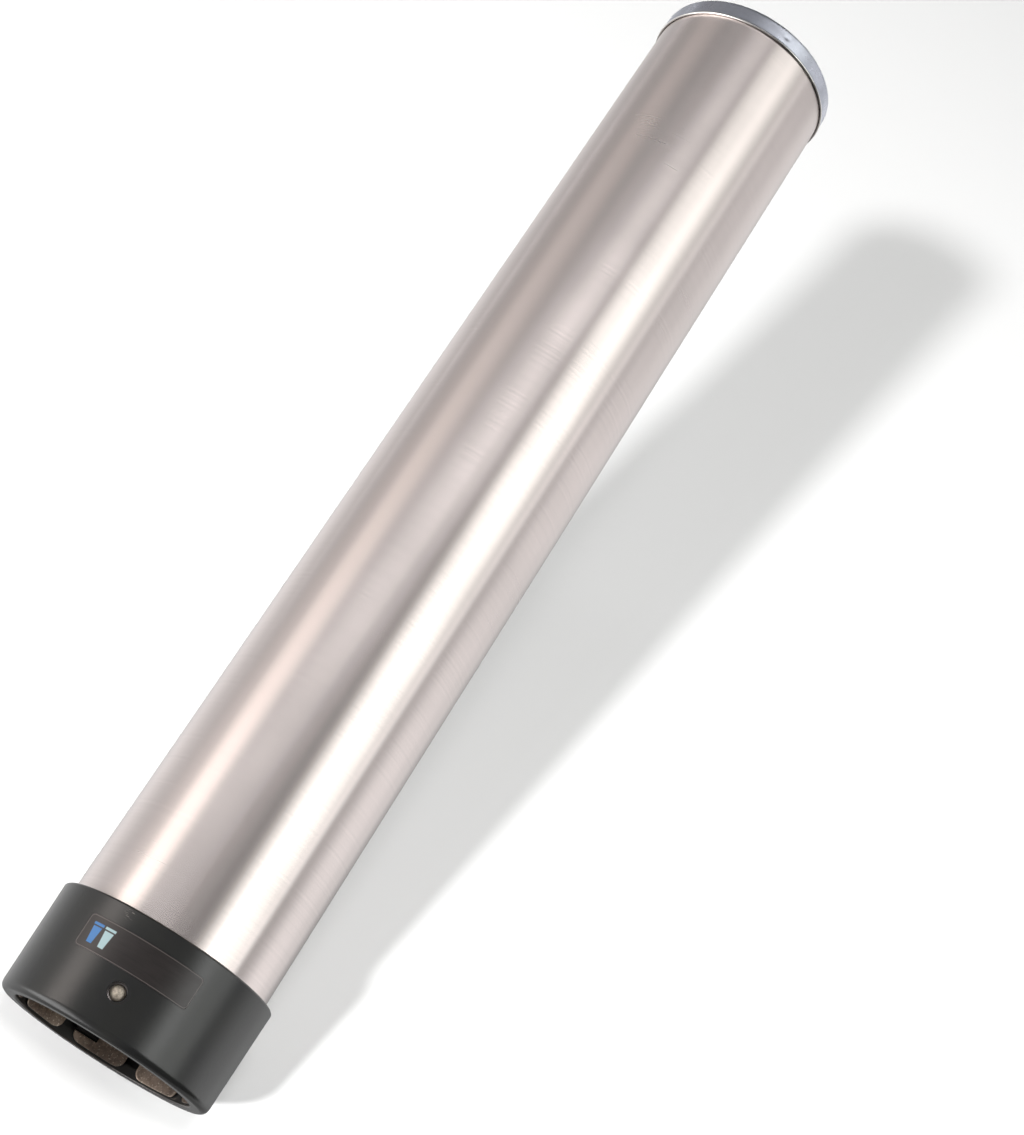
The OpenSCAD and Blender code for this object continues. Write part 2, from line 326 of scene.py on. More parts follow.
@dataclass(frozen=True)
class PressedSteel(Finish):
    """Bright stainless sheet pressed into a lid: a cool grey, hazed and clouded by many hands. Its rolled lip
    is polished glossier and painted lighter, a painted highlight along the lip."""

    name: str = "pressed_stainless_cap"
    light_colour: str = "#D9DCE8"
    dark_colour: str = "#C2C5D0"
    # Lighter colour of the rolled lip: a painted highlight
    lip_highlight_colour: str = "#F4F2EE"
    roughness: tuple[float, float] = (0.36, 0.24)
    lip_roughness: float = 0.14
    haze: Pattern = Pattern((7.0,), 5.0, 0.62)
    relief_mm: float = 0.02
    relief_strength: float = 0.4
    lip_top_mm: float = 588.1
    lip_fade_mm: float = 0.2

    def shader(self, tree: Tree) -> Node:
        """Adds the haze in the colour, the gloss and a faint relief, and the glossier lip with its painted
        highlight.

        Args:
            tree: the material's tree.

        Returns:
            The shader node.
        """
        place = add_node(tree, COORDINATES).outputs["Object"]
        haze = add_node(tree, NOISE, place, *self.haze.inputs())
        tone = add_node(tree, RANGE, haze, *NOISE_ENDS, *NONE_TO_ALL)
        tones = linear(self.dark_colour), linear(self.light_colour)
        sheet = add_node(tree, MIX, tone, *tones, data_type="RGBA")
        rough = add_node(tree, RANGE, haze, *NOISE_ENDS, *self.roughness)
        height = add_node(tree, SPLIT, place).outputs["Z"]
        lip_ends = (self.lip_top_mm * MM, (self.lip_top_mm - self.lip_fade_mm) * MM)
        lip = add_node(tree, RANGE, height, *lip_ends, *NONE_TO_ALL)
        # The lip's lighter colour is a painted highlight; its lower roughness is polish
        colour = add_node(tree, MIX, lip, sheet, linear(self.lip_highlight_colour), data_type="RGBA")
        gloss = add_node(tree, MIX, lip, rough, self.lip_roughness)
        relief = add_node(tree, BUMP, named={
            "Height": haze, "Distance": self.relief_mm * MM, "Strength": self.relief_strength,
        })
        return add_node(tree, PRINCIPLED, named={
            "Base Color": colour, "Metallic": 1.0, "Roughness": gloss, "Normal": relief,
        })


@dataclass(frozen=True)
class GrainedPlastic(Finish):
    """Charcoal ABS from a spark-eroded mould: a fine even grain that turns its gloss to satin. Its mouth and
    its top edge are painted paler, partly wear from cups and hands and partly a painted highlight along those
    edges, and there is one old scuff over the plate."""

    name: str = "grained_abs_collar"
    colour: str = "#2C2C2D"
    dusty_colour: str = "#30302E"
    # Paler tone of the mouth and top edges: partly wear, partly a painted highlight along those edges
    pale_tone_colour: str = "#7D6E67"
    scuff_colour: str = "#8B857F"
    ior: float = 1.53
    roughness: tuple[float, float] = (0.205, 0.245)
    # The real grain is about 0.1 mm. It is drawn at 0.45 mm, one pixel of the photograph.
    grain: Pattern = Pattern((0.45,), 3.0)
    grain_relief_mm: float = 0.05
    grain_strength: float = 0.7
    dust: Pattern = Pattern((13.0,), 2.0, 0.5)
    # Wider than most of the noise, so no tone is cut off along a line
    dust_ends: tuple[float, float] = (0.2, 0.8)
    mouth_r_mm: float = 43.2
    pale_edge_w_mm: float = 0.4
    pale_edge_h_mm: float = 0.7
    top_mm: float = 50.0
    top_pale_mm: float = 0.5
    # The share of a pale edge's height over which the paleness is whole
    pale_edge_whole: float = 0.4
    # Where the dust's noise begins and ends to break the pale edges up, and how much of the paleness is left
    # there
    pale_edge_breaks: tuple[float, float] = (0.3, 0.6)
    pale_edge_left: tuple[float, float] = (0.25, 0.9)
    scuff_deg: float = -14.8
    scuff_z_mm: float = 46.9
    scuff_r_mm: float = 3.2
    # The share of the spot's radius over which the scuff is whole
    scuff_whole: float = 0.3
    scratches: Pattern = Pattern((3.0, 3.0, 0.5), 2.0)
    scratch_slant_deg: float = 35.0
    scratch_ends: tuple[float, float] = (0.56, 0.66)
    scratch_strength: float = 0.8
    surface_r_mm: float = 52.2

    def shader(self, tree: Tree) -> Node:
        """Adds the grain, the dust, the pale edges (partly wear, partly a painted highlight) and the scuff.

        Args:
            tree: the material's tree.

        Returns:
            The shader node.
        """
        place = add_node(tree, COORDINATES).outputs["Object"]
        grain = add_node(tree, NOISE, place, *self.grain.inputs())
        dust = add_node(tree, NOISE, place, *self.dust.inputs())
        colour = linear(self.colour)
        for mask, tint in (
            (add_node(tree, RANGE, dust, *self.dust_ends, *NONE_TO_ALL), self.dusty_colour),
            # Paler mouth and top edges: partly wear, partly a painted highlight
            (self.pale_edge_mask(tree, place, dust), self.pale_tone_colour),
            (self.scuff(tree, place), self.scuff_colour),
        ):
            colour = add_node(tree, MIX, mask, colour, linear(tint), data_type="RGBA")
        rough = add_node(tree, RANGE, dust, *self.dust_ends, *self.roughness)
        relief = add_node(tree, BUMP, named={
            "Height": grain, "Distance": self.grain_relief_mm * MM, "Strength": self.grain_strength,
        })
        return add_node(tree, PRINCIPLED, named={
            "Base Color": colour, "Roughness": rough, "IOR": self.ior, "Normal": relief,
        })

    def pale_edge_mask(self, tree: Tree, place: Socket, dust: Node) -> Node:
        """Adds the mask of the paler edges, the mouth's and the top one by the tube: partly wear, partly a
        painted highlight.

        Args:
            tree: the material's tree.
            place: the object coordinates.
            dust: noise that breaks the pale edges up.

        Returns:
            The node of the mask.
        """
        level = add_node(tree, VECTOR_MATH, place, (1.0, 1.0, 0.0), operation="MULTIPLY")
        away = add_node(tree, VECTOR_MATH, level, operation="LENGTH")
        height = add_node(tree, SPLIT, place).outputs["Z"]
        mouth_ends = ((self.mouth_r_mm + self.pale_edge_w_mm) * MM, self.mouth_r_mm * MM)
        near_mouth = add_node(tree, RANGE, away, *mouth_ends, *NONE_TO_ALL)
        foot_ends = (self.pale_edge_h_mm * MM, self.pale_edge_h_mm * self.pale_edge_whole * MM)
        at_foot = add_node(tree, RANGE, height, *foot_ends, *NONE_TO_ALL)
        mouth = add_node(tree, MATH, near_mouth, at_foot, operation="MULTIPLY")
        top_whole_mm = self.top_mm - self.pale_edge_whole * self.top_pale_mm
        top_ends = ((self.top_mm - self.top_pale_mm) * MM, top_whole_mm * MM)
        top = add_node(tree, RANGE, height, *top_ends, *NONE_TO_ALL)
        edges = add_node(tree, MATH, mouth, top, operation="MAXIMUM")
        broken = add_node(tree, RANGE, dust, *self.pale_edge_breaks, *self.pale_edge_left)
        return add_node(tree, MATH, edges, broken, operation="MULTIPLY")

    def scuff(self, tree: Tree, place: Socket) -> Node:
        """Adds the mask of the scuff: short slanting scratches inside a small spot.

        Args:
            tree: the material's tree.
            place: the object coordinates.

        Returns:
            The node of the mask.
        """
        spot = round_the_axis(self.surface_r_mm, math.radians(self.scuff_deg), self.scuff_z_mm)
        away = add_node(tree, VECTOR_MATH, place, spot, operation="DISTANCE").outputs["Value"]
        spot_ends = (self.scuff_r_mm * MM, self.scuff_r_mm * self.scuff_whole * MM)
        inside = add_node(tree, RANGE, away, *spot_ends, *NONE_TO_ALL)
        slant = (0.0, math.radians(self.scratch_slant_deg), 0.0)
        slanted = add_node(tree, MAPPING, place, named={
            "Rotation": slant, "Scale": per_metre(*self.scratches.size_mm),
        })
        noise = add_node(tree, NOISE, slanted, *self.scratches.inputs())
        scratches = add_node(tree, RANGE, noise, *self.scratch_ends, 0.0, self.scratch_strength)
        return add_node(tree, MATH, inside, scratches, operation="MULTIPLY")


@dataclass(frozen=True)
class MouldedAcetal(Finish):
    """Black acetal as moulded, for parts that rub: dense, slightly waxy and without grain."""

    name: str = "moulded_acetal_throat"
    colour: str = "#0E0E0F"
    pale_tone_colour: str = "#171718"
    ior: float = 1.48
    roughness: tuple[float, float] = (0.30, 0.44)
    flow: Pattern = Pattern((5.0, 5.0, 1.8), 4.0)
    relief_mm: float = 0.02
    relief_strength: float = 0.4

    def shader(self, tree: Tree) -> Node:
        """Adds faint flow marks in the colour, the gloss and the relief.

        Args:
            tree: the material's tree.

        Returns:
            The shader node.
        """
        place = add_node(tree, COORDINATES).outputs["Object"]
        scaled = add_node(tree, MAPPING, place, named={"Scale": per_metre(*self.flow.size_mm)})
        flow = add_node(tree, NOISE, scaled, *self.flow.inputs())
        tone = add_node(tree, RANGE, flow, *NOISE_ENDS, *NONE_TO_ALL)
        tones = linear(self.colour), linear(self.pale_tone_colour)
        relief = add_node(tree, BUMP, named={
            "Height": flow, "Distance": self.relief_mm * MM, "Strength": self.relief_strength,
        })
        return add_node(tree, PRINCIPLED, named={
            "Base Color": add_node(tree, MIX, tone, *tones, data_type="RGBA"),
            "Roughness": add_node(tree, RANGE, flow, *NOISE_ENDS, *self.roughness),
            "IOR": self.ior,
            "Normal": relief,
        })


@dataclass(frozen=True)
class WorkedSteel(Finish):
    """Bare steel as rolled, drawn or tumbled: tool marks along one direction, dull patches, and bright
    specks where it was touched."""

    name: str
    colour: str
    dull_colour: str
    roughness: float
    marks: ToolMarks
    # Real marks are some 0.05 mm wide. They are drawn as wide as shows in the render.
    mark_w_mm: float = 0.5
    mark_layers: float = 3.0
    # What the marks add to the roughness at their lowest and highest
    mark_roughness: tuple[float, float] = (-0.07, 0.09)
    mark_relief_mm: float = 0.012
    mark_strength: float = 0.5
    patch_mm: float = 2.2
    patch_layers: tuple[float, float] = (4.0, 0.65)
    patch_ends: tuple[float, float] = (0.4, 0.65)
    patch_share: float = 0.6
    specks: Pattern = Pattern((0.8,), 2.0, 0.5)
    speck_ends: tuple[float, float] = (0.62, 0.67)
    speck_share: float = 0.0
    speck_colour: str = "#F2E8DC"

    def shader(self, tree: Tree) -> Node:
        """Adds the tool marks in the gloss and the relief, and the patches and specks in the colour.

        Args:
            tree: the material's tree.

        Returns:
            The shader node.
        """
        place = add_node(tree, COORDINATES).outputs["Object"]
        stretched = Pattern(tuple(self.mark_w_mm * share for share in self.marks.value), self.mark_layers)
        scaled = add_node(tree, MAPPING, place, named={"Scale": per_metre(*stretched.size_mm)})
        marks = add_node(tree, NOISE, scaled, *stretched.inputs())
        patches = add_node(tree, NOISE, place, *Pattern((self.patch_mm,), *self.patch_layers).inputs())
        dull = add_node(tree, RANGE, patches, *self.patch_ends, 0.0, self.patch_share)
        specks = add_node(tree, NOISE, place, *self.specks.inputs())
        bright = add_node(tree, RANGE, specks, *self.speck_ends, 0.0, self.speck_share)
        base = add_node(tree, MIX, dull, linear(self.colour), linear(self.dull_colour), data_type="RGBA")
        colour = add_node(tree, MIX, bright, base, linear(self.speck_colour), data_type="RGBA")
        roughness = [self.roughness + added for added in self.mark_roughness]
        rough = add_node(tree, RANGE, marks, *NOISE_ENDS, *roughness)
        relief = add_node(tree, BUMP, named={
            "Height": marks, "Distance": self.mark_relief_mm * MM, "Strength": self.mark_strength,
        })
        return add_node(tree, PRINCIPLED, named={
            "Base Color": colour, "Metallic": 1.0, "Roughness": rough, "Normal": relief,
        })


@dataclass(frozen=True)
class MouldedRubber(Finish):
    """Black nitrile ring, matt and a little dusty."""

    name: str = "nitrile_finger_band"
    colour: str = "#1F1F20"
    dust_colour: str = "#343332"
    ior: float = 1.5
    roughness: float = 0.68
    dust: Pattern = Pattern((1.6,), 4.0)
    dust_ends: tuple[float, float] = (0.35, 0.7)
    relief_mm: float = 0.03
    relief_strength: float = 0.4

    def shader(self, tree: Tree) -> Node:
        """Adds dust in the colour and a fine relief.

        Args:
            tree: the material's tree.

        Returns:
            The shader node.
        """
        place = add_node(tree, COORDINATES).outputs["Object"]
        dust = add_node(tree, NOISE, place, *self.dust.inputs())
        tone = add_node(tree, RANGE, dust, *self.dust_ends, *NONE_TO_ALL)
        colour = add_node(tree, MIX, tone, linear(self.colour), linear(self.dust_colour), data_type="RGBA")
        relief = add_node(tree, BUMP, named={
            "Height": dust, "Distance": self.relief_mm * MM, "Strength": self.relief_strength,
        })
        return add_node(tree, PRINCIPLED, named={
            "Base Color": colour, "Roughness": self.roughness, "IOR": self.ior, "Normal": relief,
        })


@dataclass(frozen=True)
class PrintedPlate(Finish):
    """Anodised aluminium plate, dyed dark brown and printed: satin, with a bare thin line round its edge and
    a plain picture of two cups, one blue and one pale.

    The plate's own UV map gives millimetres from its middle, so the picture has real sizes.
    """

    name: str = "anodised_label_plate"
    colour: str = "#2E2625"
    shade_colour: str = "#241E1D"
    line_colour: str = "#756C69"
    cup_colours: tuple[str, str] = ("#3E86CC", "#BFDDE2")
    cup_places_mm: tuple[float, float] = (-21.6, -15.6)
    cup_foot_mm: float = -4.4
    cup_brim_mm: float = 2.9
    brim_top_mm: float = 4.6
    brim_half_mm: float = 2.7
    cup_half_mm: float = 1.85
    cup_flare: float = 0.12
    # The print fades over this much to each side of an edge
    print_edge_mm: float = 0.12
    # The brim begins to show and is whole this many such fades over the body, which leaves a gap
    brim_fades: tuple[float, float] = (3.0, 5.0)
    ior: float = 1.6
    roughness: tuple[float, float] = (0.29, 0.41)
    # Fine lines of the rolled sheet under the dye, drawn at 0.7 mm to show
    rolled: Pattern = Pattern((9.0, 9.0, 0.7), 4.0)
    half_size_mm: tuple[float, float] = (27.75, 7.35)
    line_inset_mm: float = 0.45
    line_half_mm: float = 0.18
    # The share of the line's half width over which it is whole
    line_whole: float = 0.3
    corner_mm: float = 1.6

    def shader(self, tree: Tree) -> Node:
        """Adds the dyed ground, the line at the edge and the two cups.

        Args:
            tree: the material's tree.

        Returns:
            The shader node.
        """
        place = add_node(tree, COORDINATES).outputs["Object"]
        scaled = add_node(tree, MAPPING, place, named={"Scale": per_metre(*self.rolled.size_mm)})
        ground = add_node(tree, NOISE, scaled, *self.rolled.inputs())
        tone = add_node(tree, RANGE, ground, *NOISE_ENDS, *NONE_TO_ALL)
        rough = add_node(tree, RANGE, ground, *NOISE_ENDS, *self.roughness)
        flat = add_node(tree, SPLIT, add_node(tree, "ShaderNodeUVMap")).outputs
        colour = add_node(tree, MIX, tone, linear(self.shade_colour), linear(self.colour), data_type="RGBA")
        masks = [(self.edge_line(tree, flat["X"], flat["Y"]), self.line_colour)]
        for centre, tint in zip(self.cup_places_mm, self.cup_colours):
            masks.append((self.cup(tree, flat["X"], flat["Y"], centre), tint))
        for mask, tint in masks:
            colour = add_node(tree, MIX, mask, colour, linear(tint), data_type="RGBA")
        return add_node(tree, PRINCIPLED, named={
            "Base Color": colour, "Roughness": rough, "IOR": self.ior,
        })

    def edge_line(self, tree: Tree, x: Socket, y: Socket) -> Node:
        """Adds the mask of a thin line that follows the plate's rounded edge.

        Args:
            tree: the material's tree.
            x: millimetres along the plate from its middle.
            y: millimetres up the plate from its middle.

        Returns:
            The node of the mask.
        """
        squares = []
        for value, half in zip((x, y), self.half_size_mm):
            side = add_node(tree, MATH, value, operation="ABSOLUTE")
            corner = half - self.line_inset_mm - self.corner_mm
            past = add_node(tree, MATH, side, corner, operation="SUBTRACT")
            beyond = add_node(tree, MATH, past, 0.0, operation="MAXIMUM")
            squares.append(add_node(tree, MATH, beyond, 2.0, operation="POWER"))
        reach = add_node(tree, MATH, add_node(tree, MATH, *squares, operation="ADD"), operation="SQRT")
        off = add_node(tree, MATH, reach, self.corner_mm, operation="SUBTRACT")
        away = add_node(tree, MATH, off, operation="ABSOLUTE")
        line_ends = (self.line_half_mm, self.line_half_mm * self.line_whole)
        return add_node(tree, RANGE, away, *line_ends, *NONE_TO_ALL)

    def cup(self, tree: Tree, x: Socket, y: Socket, centre_mm: float) -> Node:
        """Adds the mask of a plain cup: a tapered body under a brim, with a gap between them.

        Args:
            tree: the material's tree.
            x: millimetres along the plate from its middle.
            y: millimetres up the plate from its middle.
            centre_mm: the cup's place along the plate.

        Returns:
            The node of the mask.
        """
        soft = self.print_edge_mm
        off = add_node(tree, MATH, x, centre_mm, operation="SUBTRACT")
        side = add_node(tree, MATH, off, operation="ABSOLUTE")
        reach = add_node(tree, MATH, y, self.cup_flare, self.cup_half_mm, operation="MULTIPLY_ADD")
        outside = add_node(tree, MATH, side, reach, operation="SUBTRACT")
        edges = (
            (outside, soft, -soft),
            (y, self.cup_foot_mm - soft, self.cup_foot_mm + soft),
            (y, self.cup_brim_mm, self.cup_brim_mm - 2 * soft),
            (side, self.brim_half_mm, self.brim_half_mm - 2 * soft),
            (y, *[self.cup_brim_mm + fades * soft for fades in self.brim_fades]),
            (y, self.brim_top_mm, self.brim_top_mm - 2 * soft),
        )
        within, over_foot, under_gap, brim_w, over_gap, under_top = (
            add_node(tree, RANGE, value, start, end, *NONE_TO_ALL) for value, start, end in edges
        )
        upright = add_node(tree, MATH, over_foot, under_gap, operation="MULTIPLY")
        body = add_node(tree, MATH, within, upright, operation="MULTIPLY")
        brim_h = add_node(tree, MATH, over_gap, under_top, operation="MULTIPLY")
        brim = add_node(tree, MATH, brim_w, brim_h, operation="MULTIPLY")
        return add_node(tree, MATH, body, brim, operation="MAXIMUM")


@dataclass(frozen=True)
class StudioPaper(Finish):
    """Matt white paper that is seen from its front only. The lamps' part of its light makes the shadows."""

    name: str
    # How much light the paper gives by itself, in place of a room's stray light
    glow: float
    colour: str = "#C8C8C8"

    def shader(self, tree: Tree) -> Node:
        """Adds the paper's glow and its matt white, and leaves its back clear.

        Args:
            tree: the material's tree.

        Returns:
            The shader node.
        """
        glow = add_node(tree, "ShaderNodeEmission", WHITE, self.glow)
        matt = add_node(tree, "ShaderNodeBsdfDiffuse", linear(self.colour))
        front = add_node(tree, "ShaderNodeAddShader", glow, matt)
        behind = add_node(tree, "ShaderNodeNewGeometry").outputs["Backfacing"]
        clear = add_node(tree, "ShaderNodeBsdfTransparent")
        return add_node(tree, "ShaderNodeMixShader", behind, front, clear)


# Sub-assemblies

@dataclass
class Tube:
    """The long steel tube that holds the stack of cups."""

    finish: BrushedSteel = BrushedSteel()

    def build(self) -> None:
        """Dresses the CAD tube."""
        dress("tube", self.finish.material())
        log.info("tube dressed")


@dataclass
class Cap:
    """The pressed lid: a flat crown, a sunk middle, a skirt with small dents and a rolled lip."""

    inner_r_mm: float = 48.3
    sheet_mm: float = 0.5
    bead_r_mm: float = 0.48
    # The bead's section starts level on the inside and curls under, to 75 degrees past level outside
    bead_end_deg: float = 435.0
    bead_steps: int = 14
    bead_neck_mm: float = 0.25
    edge_r_mm: float = 1.6
    edge_steps: int = 9
    inner_round_mm: float = 0.6
    panel_r_mm: float = 41.97
    slope_mm: float = 1.6
    drop_mm: float = 0.9
    # The slope's rounded ends, as shares of its width and of its depth
    slope_ease: tuple[float, float] = (0.2, 0.1)
    skirt_from_mm: float = 1.6
    skirt_step_mm: float = 0.5
    skirt_steps: int = 14
    # A point this little inside the skirt still counts as on it
    skirt_slack_mm: float = 0.01
    segments: int = 360
    # Angle from the front in degrees, and height over the lip in millimetres
    dents: tuple[tuple[float, float], ...] = (
        (-48.4, 5.3), (19.1, 5.5), (46.2, 2.6), (72.9, 2.8), (139.0, 5.4), (-139.0, 2.8),
    )
    dent_r_mm: float = 1.3
    dent_depth_mm: float = 0.16
    finish: PressedSteel = PressedSteel()

    def profile(self, lip_mm: float, top_mm: float) -> list[tuple[float, float]]:
        """Lists the section from the axis under the crown, round the lip, and back to the axis on top.

        Args:
            lip_mm: height of the lip.
            top_mm: height of the crown.

        Returns:
            Distance from the axis and height of each point, in millimetres.
        """
        outer = self.inner_r_mm + self.sheet_mm
        under = top_mm - self.sheet_mm
        bead = (self.inner_r_mm + self.bead_r_mm, lip_mm + self.bead_r_mm)
        skirt = [lip_mm + self.skirt_from_mm + self.skirt_step_mm * i for i in range(self.skirt_steps)]
        crown = (outer - self.edge_r_mm, top_mm - self.edge_r_mm)
        wall = self.panel_r_mm - self.slope_mm
        along, down = self.slope_ease
        # The panel from the axis out, as distances from the axis and depths under the crown
        panel = [
            (0.0, self.drop_mm),
            (wall, self.drop_mm),
            (wall + self.slope_mm * along, self.drop_mm * (1 - down)),
            (wall + self.slope_mm * (1 - along), self.drop_mm * down),
            (self.panel_r_mm, 0.0),
        ]
        return [
            *[(radius, under - depth) for radius, depth in panel],
            (self.inner_r_mm - self.inner_round_mm, under),
            (self.inner_r_mm - self.inner_round_mm / 4, under - self.inner_round_mm / 4),
            (self.inner_r_mm, under - self.inner_round_mm),
            *[(self.inner_r_mm, z) for z in reversed(skirt)],
            *arc_points(bead, self.bead_r_mm, 180, self.bead_end_deg, self.bead_steps),
            (outer, lip_mm + self.bead_r_mm * 2 + self.bead_neck_mm),
            *[(outer, z) for z in skirt],
            *arc_points(crown, self.edge_r_mm, 0, 90, self.edge_steps),
            *[(radius, top_mm - depth) for radius, depth in reversed(panel)],
        ]

    def dented(self, radius: float, angle: float, over_lip: float) -> float:
        """Gives the radius of a point of the skirt once the small dents are pressed into it.

        Args:
            radius: distance from the axis before, in millimetres.
            angle: angle from the front in radians.
            over_lip: height over the lip in millimetres.

        Returns:
            The distance from the axis in millimetres.
        """
        if radius < self.inner_r_mm - self.skirt_slack_mm:
            return radius
        for dent_deg, dent_z in self.dents:
            turn = (angle - math.radians(dent_deg) + math.pi) % (2 * math.pi) - math.pi
            away = math.hypot(turn * radius, over_lip - dent_z) / self.dent_r_mm
            radius -= self.dent_depth_mm * math.exp(-(away ** 4))
        return radius

    def build(self) -> None:
        """Turns the section round the axis, dents it and puts it in the CAD lid's place."""
        lip, top = (corner.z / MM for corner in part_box("top_cap"))
        shape = bmesh.new()
        rings = []
        for radius, height in self.profile(lip, top):
            ring = []
            for i in range(self.segments if radius > 0 else 1):
                angle = 2 * math.pi * i / self.segments
                place = round_the_axis(self.dented(radius, angle, height - lip), angle, height)
                ring.append(shape.verts.new(place))
            rings.append(ring)
        for low, high in zip(rings, rings[1:]):
            for i in range(self.segments):
                j = (i + 1) % self.segments
                corners = [low[i % len(low)], low[j % len(low)], high[j % len(high)], high[i % len(high)]]
                shape.faces.new(dict.fromkeys(corners))
        piece = add_piece("pressed_cap", mesh_from("pressed_cap", shape))
        piece.data.materials.append(self.finish.material())
        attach(piece, "cap")
        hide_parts("top_cap")
        report(piece)


@dataclass
class LabelPlate:
    """The small plate glued round the front of the collar."""

    from_deg: float = -31.8
    to_deg: float = 30.4
    low_mm: float = 26.2
    high_mm: float = 40.9
    # The collar's radius at its foot, and how much of its height it gains on the way up
    foot_r_mm: float = 51.1
    draft: float = 0.024
    lift_mm: float = 0.02
    sheet_mm: float = 0.18
    edge_mm: float = 0.05
    corner_mm: float = 1.6
    columns: int = 96
    # The columns round a corner are this many degrees apart
    corner_step_deg: int = 10
    # Places up a column, as shares of half its height
    rows: tuple[float, ...] = (-1.0, -0.5, 0.0, 0.5, 1.0)
    finish: PrintedPlate = PrintedPlate()

    def half_height(self, from_end_mm: float) -> float:
        """Gives half the plate's height near an end, where the corners are round.

        Args:
            from_end_mm: distance from the nearer end.

        Returns:
            Half the height in millimetres.
        """
        half = (self.high_mm - self.low_mm) / 2
        if from_end_mm >= self.corner_mm:
            return half
        rise = self.corner_mm - from_end_mm
        return half - self.corner_mm + math.sqrt(max(0.0, self.corner_mm ** 2 - rise ** 2))

    def columns_mm(self) -> list[float]:
        """Lists the columns' distances from the plate's middle, closer together in the round corners.

        Returns:
            The distances in millimetres, from one end to the other.
        """
        half = math.radians(self.to_deg - self.from_deg) / 2 * self.foot_r_mm
        angles = [math.radians(degrees) for degrees in range(0, 91, self.corner_step_deg)]
        bend = [half - self.corner_mm * (1 - math.cos(angle)) for angle in angles]
        inner = half - self.corner_mm
        straight = [-inner + 2 * inner * i / self.columns for i in range(1, self.columns)]
        return sorted([-b for b in bend] + straight + bend)

    def skin(
        self,
        shape: bmesh.types.BMesh,
        height_mm: float,
        inset_mm: float,
        flat: dict[bmesh.types.BMVert, tuple[float, float]],
    ) -> list[list[bmesh.types.BMVert]]:
        """Adds one curved layer of the plate's points.

        Args:
            shape: bmesh that the points go into.
            height_mm: the layer's height over the collar.
            inset_mm: how far it stays inside the plate's outline.
            flat: gets each point's place on the flat plate, in millimetres.

        Returns:
            The points, column by column.
        """
        middle = math.radians(self.from_deg + self.to_deg) / 2
        centre = (self.low_mm + self.high_mm) / 2
        places = self.columns_mm()
        half = places[-1]
        made = []
        for x in places:
            reach = self.half_height(half - abs(x)) - inset_mm
            x_in = x * (half - inset_mm) / half
            column = []
            for share in self.rows:
                z = centre + reach * share
                radius = self.foot_r_mm + self.draft * z + height_mm
                vert = shape.verts.new(round_the_axis(radius, middle + x_in / self.foot_r_mm, z))
                flat[vert] = (x_in, reach * share)
                column.append(vert)
            made.append(column)
        return made

    def build(self) -> None:
        """Makes the plate as two curved skins with an eased edge between them."""
        shape = bmesh.new()
        uv = shape.loops.layers.uv.new("label_mm")
        flat: dict[bmesh.types.BMVert, tuple[float, float]] = {}
        layers = ((self.lift_mm, 0.0), (self.sheet_mm - self.edge_mm, 0.0), (self.sheet_mm, self.edge_mm))
        skins = [self.skin(shape, height, inset, flat) for height, inset in layers]
        steps = range(len(self.rows) - 1)
        for skin in (skins[0], skins[-1]):
            for left, right in zip(skin, skin[1:]):
                for i in steps:
                    shape.faces.new((left[i], right[i], right[i + 1], left[i + 1]))
        for under, over in zip(skins, skins[1:]):
            for i in range(len(under) - 1):
                for k in (0, -1):
                    shape.faces.new((under[i][k], under[i + 1][k], over[i + 1][k], over[i][k]))
            for i in (0, -1):
                for k in steps:
                    shape.faces.new((under[i][k], under[i][k + 1], over[i][k + 1], over[i][k]))
        for face in shape.faces:
            for loop in face.loops:
                loop[uv].uv = flat[loop.vert]
        piece = add_piece("label_plate", mesh_from("label_plate", shape))
        piece.data.materials.append(self.finish.material())
        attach(piece, "housing")
        report(piece)


@dataclass
class Collar:
    """The moulded collar and the plate on it."""

    finish: GrainedPlastic = GrainedPlastic()
    plate: LabelPlate = field(default_factory=LabelPlate)

    def build(self) -> None:
        """Dresses the CAD collar and adds the plate."""
        dress("throat_collar", self.finish.material())
        log.info("collar dressed")
        self.plate.build()


